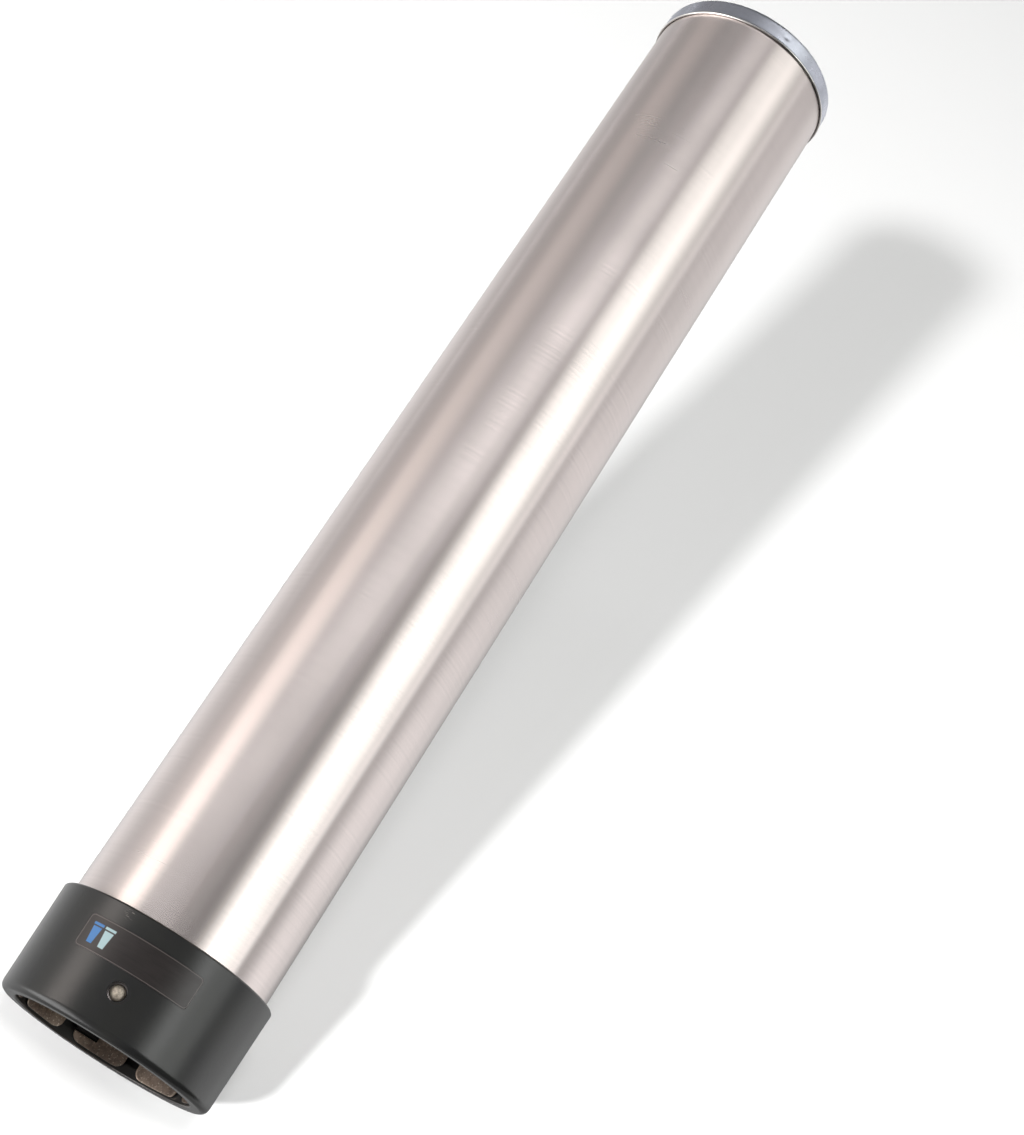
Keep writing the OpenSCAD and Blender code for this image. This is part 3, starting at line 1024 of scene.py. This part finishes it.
@dataclass
class Fingers:
    """The eight steel fingers, each bent from strip: a blade, a neck, two rolled knuckles and a tail."""

    first_deg: float = 12.0
    inner_r_mm: float = 42.0
    sheet_mm: float = 0.5
    tip_mm: float = 1.5
    blade_mm: float = 20.0
    half_angle_deg: float = 18.0
    corner_mm: float = 4.0
    shoulder_mm: float = 3.0
    neck_half_mm: float = 5.8
    tail_half_mm: float = 3.0
    tail_mm: float = 8.0
    hinge_z_mm: float = 27.7
    hinge_r_mm: float = 43.53
    curl_r_mm: float = 1.28
    curl_from_deg: float = 184.0
    curl_turn_deg: float = 318.0
    lane_gap_mm: float = 0.3
    # Where the blade's round gives way to the flat neck, from its top
    flat_from_mm: float = -1.5
    flat_to_mm: float = 1.0
    # The finger whose blade is cut away beside the ring's lug
    notched: int = 3
    notch_low_mm: float = 5.6
    notch_high_mm: float = 19.7
    notch_edge_mm: float = 1.91
    stem_edge_mm: float = 6.5
    # Past the blade's own edge, so a finger without a notch stays whole
    uncut_mm: float = 1000.0
    eased_mm: float = 0.1
    eased_steps: int = 2
    eased_over_deg: float = 50.0
    strip_points: tuple[int, int] = (25, 137)
    curl_points: tuple[int, int] = (4, 33)
    # Cold-rolled stainless strip: rolling marks up the finger, dull patches and specks of wear
    finish: WorkedSteel = WorkedSteel(
        "rolled_stainless_finger", "#B9A799", "#83746A", 0.36, ToolMarks.UPRIGHT, speck_share=0.95,
    )

    def sizes(self) -> dict[str, float]:
        """Lists the tree's named sizes.

        Returns:
            Input name to its value in metres.
        """
        middle = self.inner_r_mm + self.sheet_mm / 2
        in_mm = {
            "Blade radius": middle,
            "Half width": middle * math.radians(self.half_angle_deg),
            "Tip height": self.tip_mm,
            "Blade top": self.tip_mm + self.blade_mm,
            "Corner radius": self.corner_mm,
            "Shoulder radius": self.shoulder_mm,
            "Neck half width": self.neck_half_mm,
            "Tail half width": self.tail_half_mm,
            "Hinge height": self.hinge_z_mm,
            "Tail top": self.hinge_z_mm + self.tail_mm,
            "Hinge distance": self.hinge_r_mm,
            "Curl radius": self.curl_r_mm,
            "Lane gap": self.lane_gap_mm,
            "Notch low": self.notch_low_mm,
            "Notch high": self.notch_high_mm,
            "Notch edge": self.uncut_mm,
            "Stem edge": self.uncut_mm,
        }
        return {name: value * MM for name, value in in_mm.items()}

    def tree(self) -> Tree:
        """Builds the tree that bends one finger from three flat grids: the strip and its two curls.

        Returns:
            The tree, with an input for each size, the turn round the mouth and the steel.
        """
        tree = bpy.data.node_groups.new("bent_finger", "GeometryNodeTree")
        face = tree.interface
        for name, value in [*self.sizes().items(), ("Turn", 0.0)]:
            socket = face.new_socket(name=name, in_out="INPUT", socket_type="NodeSocketFloat")
            socket.default_value = value
        face.new_socket(name="Steel", in_out="INPUT", socket_type="NodeSocketMaterial")
        face.new_socket(name="Geometry", in_out="OUTPUT", socket_type="NodeSocketGeometry")
        given = add_node(tree, "NodeGroupInput").outputs
        joined = add_node(tree, "GeometryNodeJoinGeometry")
        for part in (self.strip(tree, given), self.curl(tree, given, -1.0), self.curl(tree, given, 1.0)):
            tree.links.new(part.outputs["Geometry"], joined.inputs[0])
        spin = add_node(tree, "ShaderNodeCombineXYZ", named={"Z": given["Turn"]})
        turned = add_node(tree, "GeometryNodeTransform", joined, named={"Rotation": spin})
        real = add_node(tree, "GeometryNodeRealizeInstances", turned)
        steel = add_node(tree, "GeometryNodeSetMaterial", real, named={"Material": given["Steel"]})
        add_node(tree, "NodeGroupOutput", steel)
        return tree

    def flat_grid(self, tree: Tree, points: tuple[int, int]) -> tuple[Node, Socket, Node]:
        """Adds a flat grid.

        Args:
            tree: the finger's tree.
            points: number of points across and along.

        Returns:
            The grid, its points' places across from -1 to 1, and along from 0 to 1.
        """
        grid = add_node(tree, "GeometryNodeMeshGrid", 2.0, 1.0, *points)
        place = add_node(tree, SPLIT, add_node(tree, "GeometryNodeInputPosition"))
        return grid, place.outputs["X"], add_node(tree, MATH, place.outputs["Y"], 0.5, operation="ADD")

    def corner_reach(self, tree: Tree, given: Sizes, distance: Node, radius: Socket) -> Node:
        """Adds the half width of the blade near an end whose corners are round.

        Args:
            tree: the finger's tree.
            given: the tree's named sizes.
            distance: distance from the end.
            radius: the corners' radius.

        Returns:
            The node of the half width.
        """
        near = add_node(tree, MATH, distance, radius, operation="MINIMUM")
        left = add_node(tree, MATH, radius, near, operation="SUBTRACT")
        left_square = add_node(tree, MATH, left, left, operation="MULTIPLY")
        square = add_node(tree, MATH, radius, radius, operation="MULTIPLY")
        rest = add_node(tree, MATH, square, left_square, operation="SUBTRACT")
        rise = add_node(tree, MATH, add_node(tree, MATH, rest, 0.0, operation="MAXIMUM"), operation="SQRT")
        straight = add_node(tree, MATH, given["Half width"], radius, operation="SUBTRACT")
        return add_node(tree, MATH, straight, rise, operation="ADD")

    def half_width(self, tree: Tree, given: Sizes, z: Node) -> Node:
        """Adds the strip's half width at each height: blade, neck and tail.

        Args:
            tree: the finger's tree.
            given: the tree's named sizes.
            z: each point's height.

        Returns:
            The node of the half width.
        """
        over_tip = add_node(tree, MATH, z, given["Tip height"], operation="SUBTRACT")
        low = self.corner_reach(tree, given, over_tip, given["Corner radius"])
        under_top = add_node(tree, MATH, given["Blade top"], z, operation="SUBTRACT")
        to_top = add_node(tree, MATH, under_top, 0.0, operation="MAXIMUM")
        high = self.corner_reach(tree, given, to_top, given["Shoulder radius"])
        in_blade = add_node(tree, MATH, z, given["Blade top"], operation="LESS_THAN")
        blade = add_node(tree, MATH, high, in_blade, operation="MULTIPLY")
        neck = add_node(tree, MATH, blade, given["Neck half width"], operation="MAXIMUM")
        slim = add_node(tree, MATH, given["Neck half width"], given["Tail half width"], operation="SUBTRACT")
        in_tail = add_node(tree, MATH, z, given["Hinge height"], operation="GREATER_THAN")
        lost = add_node(tree, MATH, in_tail, slim, operation="MULTIPLY")
        upper = add_node(tree, MATH, neck, lost, operation="SUBTRACT")
        return add_node(tree, MATH, low, upper, operation="MINIMUM")

    def notch_limit(self, tree: Tree, given: Sizes, z: Node) -> Node:
        """Adds how far the strip's right side may reach beside the ring's lug and the lug's stem.

        Args:
            tree: the finger's tree.
            given: the tree's named sizes.
            z: each point's height.

        Returns:
            The node of the limit, which is far away where nothing is cut.
        """
        over_low = add_node(tree, MATH, z, given["Notch low"], operation="GREATER_THAN")
        limits = []
        for top, edge in (("Notch high", "Notch edge"), ("Blade top", "Stem edge")):
            under = add_node(tree, MATH, z, given[top], operation="LESS_THAN")
            beside = add_node(tree, MATH, over_low, under, operation="MULTIPLY")
            free = add_node(tree, MATH, 1.0, beside, operation="SUBTRACT")
            limits.append(add_node(tree, MATH, given[edge], free, operation="ADD"))
        return add_node(tree, MATH, *limits, operation="MINIMUM")

    def strip(self, tree: Tree, given: Sizes) -> Node:
        """Adds the blade, neck and tail: a grid cut to the finger's outline and bent to the mouth.

        Args:
            tree: the finger's tree.
            given: the tree's named sizes.

        Returns:
            The node with the bent strip.
        """
        grid, across, along = self.flat_grid(tree, self.strip_points)
        rise = add_node(tree, MATH, given["Tail top"], given["Tip height"], operation="SUBTRACT")
        z = add_node(tree, MATH, along, rise, given["Tip height"], operation="MULTIPLY_ADD")
        half = self.half_width(tree, given, z)
        cut = add_node(tree, MATH, half, self.notch_limit(tree, given, z), operation="MINIMUM")
        change = add_node(tree, MATH, cut, half, operation="SUBTRACT")
        on_right = add_node(tree, MATH, across, 0.0, operation="GREATER_THAN")
        reach = add_node(tree, MATH, on_right, change, half, operation="MULTIPLY_ADD")
        sideways = add_node(tree, MATH, across, reach, operation="MULTIPLY")
        radius = given["Blade radius"]
        angle = add_node(tree, MATH, sideways, radius, operation="DIVIDE")
        cosine = add_node(tree, MATH, angle, operation="COSINE")
        sine = add_node(tree, MATH, angle, operation="SINE")
        round_x = add_node(tree, MATH, radius, cosine, operation="MULTIPLY")
        round_y = add_node(tree, MATH, radius, sine, operation="MULTIPLY")
        starts = add_node(tree, MATH, given["Blade top"], self.flat_from_mm * MM, operation="ADD")
        ends = add_node(tree, MATH, given["Blade top"], self.flat_to_mm * MM, operation="ADD")
        flat = add_node(tree, RANGE, z, starts, ends, *NONE_TO_ALL, interpolation_type="SMOOTHSTEP")
        out = add_node(tree, MATH, radius, round_x, operation="SUBTRACT")
        aside = add_node(tree, MATH, sideways, round_y, operation="SUBTRACT")
        x = add_node(tree, MATH, flat, out, round_x, operation="MULTIPLY_ADD")
        y = add_node(tree, MATH, flat, aside, round_y, operation="MULTIPLY_ADD")
        place = add_node(tree, "ShaderNodeCombineXYZ", x, y, z)
        return add_node(tree, "GeometryNodeSetPosition", grid, named={"Position": place})

    def curl(self, tree: Tree, given: Sizes, side: float) -> Node:
        """Adds one knuckle: a narrow grid rolled round the hinge pin, on one side of the tail.

        Args:
            tree: the finger's tree.
            given: the tree's named sizes.
            side: -1 for the left knuckle and 1 for the right one.

        Returns:
            The node with the rolled grid.
        """
        grid, across, along = self.flat_grid(tree, self.curl_points)
        inner = add_node(tree, MATH, given["Tail half width"], given["Lane gap"], operation="ADD")
        span = add_node(tree, MATH, given["Neck half width"], inner, operation="SUBTRACT")
        share = add_node(tree, MATH, across, 0.5, 0.5, operation="MULTIPLY_ADD")
        aside = add_node(tree, MATH, share, span, inner, operation="MULTIPLY_ADD")
        y = add_node(tree, MATH, aside, side, operation="MULTIPLY")
        start, turn = math.radians(self.curl_from_deg), -math.radians(self.curl_turn_deg)
        angle = add_node(tree, MATH, along, turn, start, operation="MULTIPLY_ADD")
        cosine = add_node(tree, MATH, angle, operation="COSINE")
        sine = add_node(tree, MATH, angle, operation="SINE")
        radius = given["Curl radius"]
        x = add_node(tree, MATH, cosine, radius, given["Hinge distance"], operation="MULTIPLY_ADD")
        z = add_node(tree, MATH, sine, radius, given["Hinge height"], operation="MULTIPLY_ADD")
        place = add_node(tree, "ShaderNodeCombineXYZ", x, y, z)
        return add_node(tree, "GeometryNodeSetPosition", grid, named={"Position": place})

    def bend(self, tree: Tree, steel: bpy.types.Material, n: int) -> bpy.types.Mesh:
        """Bends, thickens and eases one finger.

        Args:
            tree: the finger's tree.
            steel: its material.
            n: its number, from 1.

        Returns:
            The finger's plain mesh.
        """
        keys = {item.name: item.identifier for item in tree.interface.items_tree if item.in_out == "INPUT"}
        given: dict[str, object] = dict(self.sizes())
        given["Turn"] = math.radians(self.first_deg + 360 / FINGER_COUNT * (n - 1))
        given["Steel"] = steel
        if n == self.notched:
            given["Notch edge"], given["Stem edge"] = self.notch_edge_mm * MM, self.stem_edge_mm * MM
        maker = add_piece(f"maker_{n}", bpy.data.meshes.new(f"maker_{n}"))
        bent = maker.modifiers.new("Bent strip", "NODES")
        bent.node_group = tree
        for name, value in given.items():
            bent[keys[name]] = value
        thick = maker.modifiers.new("Sheet", "SOLIDIFY")
        thick.thickness, thick.offset = self.sheet_mm * MM, 0.0
        ease = maker.modifiers.new("Eased edge", "BEVEL")
        ease.width, ease.segments = self.eased_mm * MM, self.eased_steps
        ease.limit_method, ease.angle_limit = "ANGLE", math.radians(self.eased_over_deg)
        made = bpy.data.meshes.new_from_object(maker.evaluated_get(bpy.context.evaluated_depsgraph_get()))
        bpy.data.objects.remove(maker)
        made.name = f"bent_finger_{n}"
        made.shade_smooth()
        return made

    def build(self) -> None:
        """Makes one finger for each of the eight bodies and puts it in the CAD finger's place."""
        tree = self.tree()
        steel = self.finish.material()
        for n in range(1, FINGER_COUNT + 1):
            piece = add_piece(f"bent_finger_{n}", self.bend(tree, steel, n))
            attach(piece, f"finger_{n}")
            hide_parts(f"finger_{n}")
            report(piece)


@dataclass
class Throat:
    """What holds and sets the fingers: the sleeve with its rivet, the turning ring, its retaining ring, the
    pins and the band."""

    plastic: MouldedAcetal = MouldedAcetal()
    rubber: MouldedRubber = MouldedRubber()
    # Drawn wire: bright, with fine marks all ways from tumbling
    wire: WorkedSteel = WorkedSteel(
        "drawn_steel_pin", "#C4C3C4", "#8B8887", 0.28, ToolMarks.TUMBLED, mark_w_mm=0.3,
    )
    # Spring steel strip: darker, blued a little by its temper, with rolling marks along it
    spring: WorkedSteel = WorkedSteel(
        "tempered_spring_strip", "#A7AAB0", "#7D7B7C", 0.34, ToolMarks.LEVEL, mark_w_mm=0.4,
    )

    def build(self) -> None:
        """Dresses the CAD nodes of the throat."""
        plastic, wire = self.plastic.material(), self.wire.material()
        dress("finger_band", self.rubber.material())
        for node in ("cam_sleeve", "throat_ring"):
            dress(node, plastic)
        dress("retaining_ring", self.spring.material())
        for node in ("spring_rivet", *[f"finger_pin_{n}" for n in range(1, FINGER_COUNT + 1)]):
            dress(node, wire)
        log.info("throat dressed")


@dataclass
class Button:
    """The small domed button in the collar."""

    # Nickelled and tumbled steel: dull and warm, mottled by handling
    steel: WorkedSteel = WorkedSteel(
        "tumbled_nickel_button", "#F0E6D8", "#AC9F90", 0.68, ToolMarks.TUMBLED,
        mark_w_mm=1.1, patch_mm=1.2, patch_share=0.7,
    )

    def build(self) -> None:
        """Dresses the CAD button."""
        dress("snap_button", self.steel.material())
        log.info("button dressed")


@dataclass
class LeafSpring:
    """The leaf spring behind the button. It takes the CAD node's place."""

    # Corners of the node's loose triangles that are closer than this are one
    merge_mm: float = 0.001
    # The same strip as the retaining ring's
    steel: WorkedSteel = replace(Throat.spring, name="tempered_leaf_strip")

    def build(self) -> None:
        """Copies the node's mesh with its two holes and joins the corners of its loose triangles."""
        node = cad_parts["button_spring"]
        shape = bmesh.new()
        shape.from_mesh(node.data)
        shape.transform(node.matrix_world)
        bmesh.ops.remove_doubles(shape, verts=shape.verts, dist=self.merge_mm * MM)
        piece = add_piece("leaf_spring", mesh_from("leaf_spring", shape))
        piece.data.materials.append(self.steel.material())
        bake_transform(piece)
        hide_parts("button_spring")
        report(piece)


# Studio

@dataclass(frozen=True)
class LightPatch:
    """A soft patch of light in the studio, as the object sees it. A negative strength makes it a dark card.

    Angles are in degrees: azimuth from the camera's side toward +X, and elevation above the horizon. The
    patch leans by lean degrees of azimuth for each degree of elevation above level.
    """

    azimuth: float
    half_width: float
    blur: float
    strength: float
    low: float = -90.0
    high: float = 90.0
    low_blur: float = 10.0
    high_blur: float = 10.0
    lean: float = 0.0
    level: float = 20.0
    tint: str = "#FFFFFF"


@dataclass(frozen=True)
class PaperLamp:
    """A lamp that lights the papers alone, so the object throws a shadow there. Its power is in watts."""

    name: str
    place: tuple[float, float, float]
    power: float
    radius: float


@dataclass
class Studio:
    """Plain white surroundings: soft lights, a pale floor and a pale backdrop that catches the shadow."""

    # The room's even light, and the least that is left of it behind a dark card
    dim: float = 0.205
    least: float = 0.02
    patches: tuple[LightPatch, ...] = (
        # The main window, its bright low middle, and the narrow edge of its frame
        LightPatch(41.2, 21.0, 3.5, 1.68, low=-22.0, high=39.0, low_blur=12.0, lean=-0.5, tint="#FCFFFB"),
        LightPatch(40.0, 4.0, 5.0, 2.2, low=-2.0, high=16.0, low_blur=6.0, high_blur=6.0),
        LightPatch(70.6, 2.3, 3.4, 0.88, low=-14.0),
        # The black card over the camera
        LightPatch(-6.5, 26.0, 10.5, -1.0, low=35.4, low_blur=7.7, lean=0.1),
        # The side windows, right and left, a thin gap beside the left one, and a lamp under it
        LightPatch(94.2, 10.5, 26.6, 0.98, low=-16.0, high=51.0, high_blur=31.0, lean=-0.3),
        LightPatch(-77.8, 7.1, 30.5, 1.34, low=-30.6, high=19.5, low_blur=37.0,
                   high_blur=27.0, lean=-0.15, tint="#FFF7F1"),
        LightPatch(-116.5, 1.6, 1.6, 0.9, low=24.0),
        LightPatch(-64.0, 11.0, 8.0, 3.0, low=-3.0, high=7.5, low_blur=5.0, high_blur=4.0, tint="#FFF3EA"),
        # The leaning strip light
        LightPatch(-23.7, 11.7, 6.5, 3.7, low=13.5, high=35.8, low_blur=17.3,
                   high_blur=7.6, lean=2.66, level=22.0),
        # A low reflector on the left, which lights the mouth from below, and a black card low on the right
        LightPatch(-82.0, 28.0, 12.0, 2.9, low=-70.0, high=-19.0, high_blur=6.0),
        LightPatch(76.0, 48.0, 15.0, -1.5, low=-85.0, high=-9.0, low_blur=3.0, high_blur=6.0),
        # The back of the room, right and left
        LightPatch(130.6, 22.5, 17.1, 0.58, low=-61.0, lean=0.3),
        LightPatch(-149.9, 35.9, 39.9, 0.70, low=-82.0, high=42.0, high_blur=26.0, lean=-0.8),
    )
    camera_azimuth_deg: float = 9.0
    backdrop_from: float = 0.052
    backdrop_lean: float = 0.7
    backdrop_half_width: float = 2.5
    backdrop_low: float = -0.15
    backdrop_high: float = 3.0
    floor_half_size: float = 3.0
    # The floor is this far under the mouth, so the two never touch
    floor_gap_mm: float = 0.4
    backdrop_paper: StudioPaper = StudioPaper("backdrop_paper", glow=0.08)
    floor_paper: StudioPaper = StudioPaper("floor_paper", glow=0.68)
    lamps: tuple[PaperLamp, ...] = (
        # The key light, low on the left: the long shadow on the right
        PaperLamp("key_light", (-0.245, -1.89, -0.64), power=640.0, radius=0.06),
        # The fill light, a little over the camera: the faint soft shadow under the mouth
        PaperLamp("fill_light", (0.28, -1.88, 0.28), power=200.0, radius=0.19),
    )
    # The lamps light the papers evenly, as strongly as they would at this distance
    lamp_reach: float = 3.0

    def world(self) -> None:
        """Lays the soft lights out on the sky, which the camera itself sees as plain white."""
        world = bpy.data.worlds.new("studio")
        bpy.context.scene.world = world
        world.use_nodes = True
        tree = world.node_tree
        tree.nodes.clear()
        way = add_node(tree, SPLIT, add_node(tree, COORDINATES).outputs["Generated"])
        toward = add_node(tree, MATH, way.outputs["Y"], -1.0, operation="MULTIPLY")
        turn = add_node(tree, MATH, way.outputs["X"], toward, operation="ARCTAN2")
        azimuth = add_node(tree, MATH, turn, operation="DEGREES")
        rise = add_node(tree, MATH, way.outputs["Z"], operation="ARCSINE")
        elevation = add_node(tree, MATH, rise, operation="DEGREES")
        total = add_node(tree, VECTOR_MATH, (self.dim,) * 3, (0.0, 0.0, 0.0), operation="ADD")
        for patch in self.patches:
            colour = Vector(linear(patch.tint)[:3]) * patch.strength
            mask = self.mask(tree, azimuth, elevation, patch)
            light = add_node(tree, VECTOR_MATH, colour, mask, operation="SCALE")
            total = add_node(tree, VECTOR_MATH, total, light, operation="ADD")
        kept = add_node(tree, VECTOR_MATH, total, (self.least,) * 3, operation="MAXIMUM")
        lit = add_node(tree, "ShaderNodeBackground", kept)
        plain = add_node(tree, "ShaderNodeBackground", WHITE)
        seen = add_node(tree, "ShaderNodeLightPath").outputs["Is Camera Ray"]
        add_node(tree, "ShaderNodeOutputWorld", add_node(tree, "ShaderNodeMixShader", seen, lit, plain))

    def mask(self, tree: Tree, azimuth: Node, elevation: Node, patch: LightPatch) -> Node:
        """Adds the soft-edged mask of one patch of light.

        Args:
            tree: the world's tree.
            azimuth: azimuth of the direction, in degrees.
            elevation: its elevation in degrees.
            patch: the patch.

        Returns:
            The node of the mask.
        """
        above = add_node(tree, MATH, elevation, patch.level, operation="SUBTRACT")
        leaning = add_node(
            tree, MATH, above, patch.lean, self.camera_azimuth_deg + patch.azimuth, operation="MULTIPLY_ADD"
        )
        away = add_node(tree, MATH, azimuth, leaning, operation="SUBTRACT")
        turned = add_node(tree, MATH, away, 180.0, -180.0, operation="WRAP")
        side = add_node(tree, MATH, turned, operation="ABSOLUTE")
        edges = (
            (side, patch.half_width + patch.blur, patch.half_width - patch.blur),
            (elevation, patch.low - patch.low_blur, patch.low + patch.low_blur),
            (elevation, patch.high + patch.high_blur, patch.high - patch.high_blur),
        )
        across, low, high = (
            add_node(tree, RANGE, value, start, end, *NONE_TO_ALL, interpolation_type="SMOOTHSTEP")
            for value, start, end in edges
        )
        upright = add_node(tree, MATH, low, high, operation="MULTIPLY")
        return add_node(tree, MATH, across, upright, operation="MULTIPLY")

    def sheet(self, name: str, corners: list[Vector], paper: StudioPaper) -> bpy.types.Object:
        """Makes one flat sheet of paper that only the camera sees.

        Args:
            name: its name.
            corners: its corners, in turn.
            paper: its finish.

        Returns:
            The sheet's object.
        """
        mesh = bpy.data.meshes.new(name)
        mesh.from_pydata([tuple(c) for c in corners], [], [tuple(range(len(corners)))])
        mesh.materials.append(paper.material())
        piece = add_piece(name, mesh)
        piece.visible_diffuse = piece.visible_glossy = False
        piece.visible_transmission = piece.visible_shadow = False
        return piece

    def papers(self) -> list[bpy.types.Object]:
        """Makes the backdrop, which rises from behind the mouth and leans away, and the floor.

        Returns:
            The two sheets.
        """
        turn = math.radians(self.camera_azimuth_deg)
        away = Vector((-math.sin(turn), math.cos(turn), 0.0))
        side = Vector((math.cos(turn), math.sin(turn), 0.0))
        up = away * self.backdrop_lean + Vector((0.0, 0.0, 1.0))
        width, low, high = self.backdrop_half_width, self.backdrop_low, self.backdrop_high
        places = ((-width, low), (width, low), (width, high), (-width, high))
        leaning = [away * self.backdrop_from + side * across + up * height for across, height in places]
        size = self.floor_half_size
        corners = ((-size, -size), (size, -size), (size, size), (-size, size))
        flat = [Vector((x, y, -self.floor_gap_mm * MM)) for x, y in corners]
        return [
            self.sheet("backdrop", leaning, self.backdrop_paper),
            self.sheet("floor", flat, self.floor_paper),
        ]

    def light(self, lamp: PaperLamp, papers: list[bpy.types.Object]) -> None:
        """Makes a lamp that throws the object's shadow on the papers and lights nothing else.

        Args:
            lamp: the lamp's place and strength.
            papers: the sheets that it lights.
        """
        data = bpy.data.lights.new(lamp.name, "POINT")
        data.energy, data.shadow_soft_size = lamp.power, lamp.radius
        data.use_nodes = True
        tree = data.node_tree
        tree.nodes.clear()
        even = add_node(tree, "ShaderNodeLightFalloff", 1 / self.lamp_reach ** 2).outputs["Constant"]
        add_node(tree, "ShaderNodeOutputLight", add_node(tree, "ShaderNodeEmission", WHITE, even))
        light = bpy.data.objects.new(lamp.name, data)
        light.location = lamp.place
        bpy.context.scene.collection.objects.link(light)
        lit = bpy.data.collections.new(f"lit_by_{lamp.name}")
        for piece in papers:
            lit.objects.link(piece)
        light.light_linking.receiver_collection = lit

    def build(self) -> None:
        """Sets the lights, the floor and the backdrop up."""
        self.world()
        papers = self.papers()
        for lamp in self.lamps:
            self.light(lamp, papers)
        view = bpy.context.scene.view_settings
        view.view_transform, view.look = "Standard", "None"
        view.exposure, view.gamma = 0.0, 1.0
        log.info("studio built")


@dataclass
class PhotoCamera:
    """The camera at the photograph's place."""

    place: tuple[float, float, float] = (0.1393, -0.8794, -0.0812)
    forward: tuple[float, float, float] = (-0.1072, 0.9184, 0.3808)
    up: tuple[float, float, float] = (-0.4949, -0.3815, 0.7807)
    lens_mm: float = 64.55
    sensor_mm: float = 36.0
    nearest: float = 0.01
    farthest: float = 100.0

    def build(self) -> None:
        """Makes the camera and sets it as the scene's."""
        data = bpy.data.cameras.new("photo_camera")
        data.lens, data.sensor_width, data.sensor_fit = self.lens_mm, self.sensor_mm, "AUTO"
        data.clip_start, data.clip_end = self.nearest, self.farthest
        camera = bpy.data.objects.new("photo_camera", data)
        bpy.context.scene.collection.objects.link(camera)
        forward = Vector(self.forward).normalized()
        right = forward.cross(Vector(self.up)).normalized()
        turn = Matrix((right, right.cross(forward), -forward)).transposed()
        camera.matrix_world = Matrix.Translation(self.place) @ turn.to_4x4()
        bpy.context.scene.camera = camera
        log.info("camera placed")


def main() -> None:
    """Builds the camera, the studio and each sub-assembly in order."""
    logging.basicConfig(level=logging.INFO, format="%(name)s: %(message)s")
    PhotoCamera().build()
    Studio().build()
    for assembly in (Tube(), Cap(), Collar(), Throat(), Fingers(), Button(), LeafSpring()):
        assembly.build()


if __name__ == "__main__":
    main()
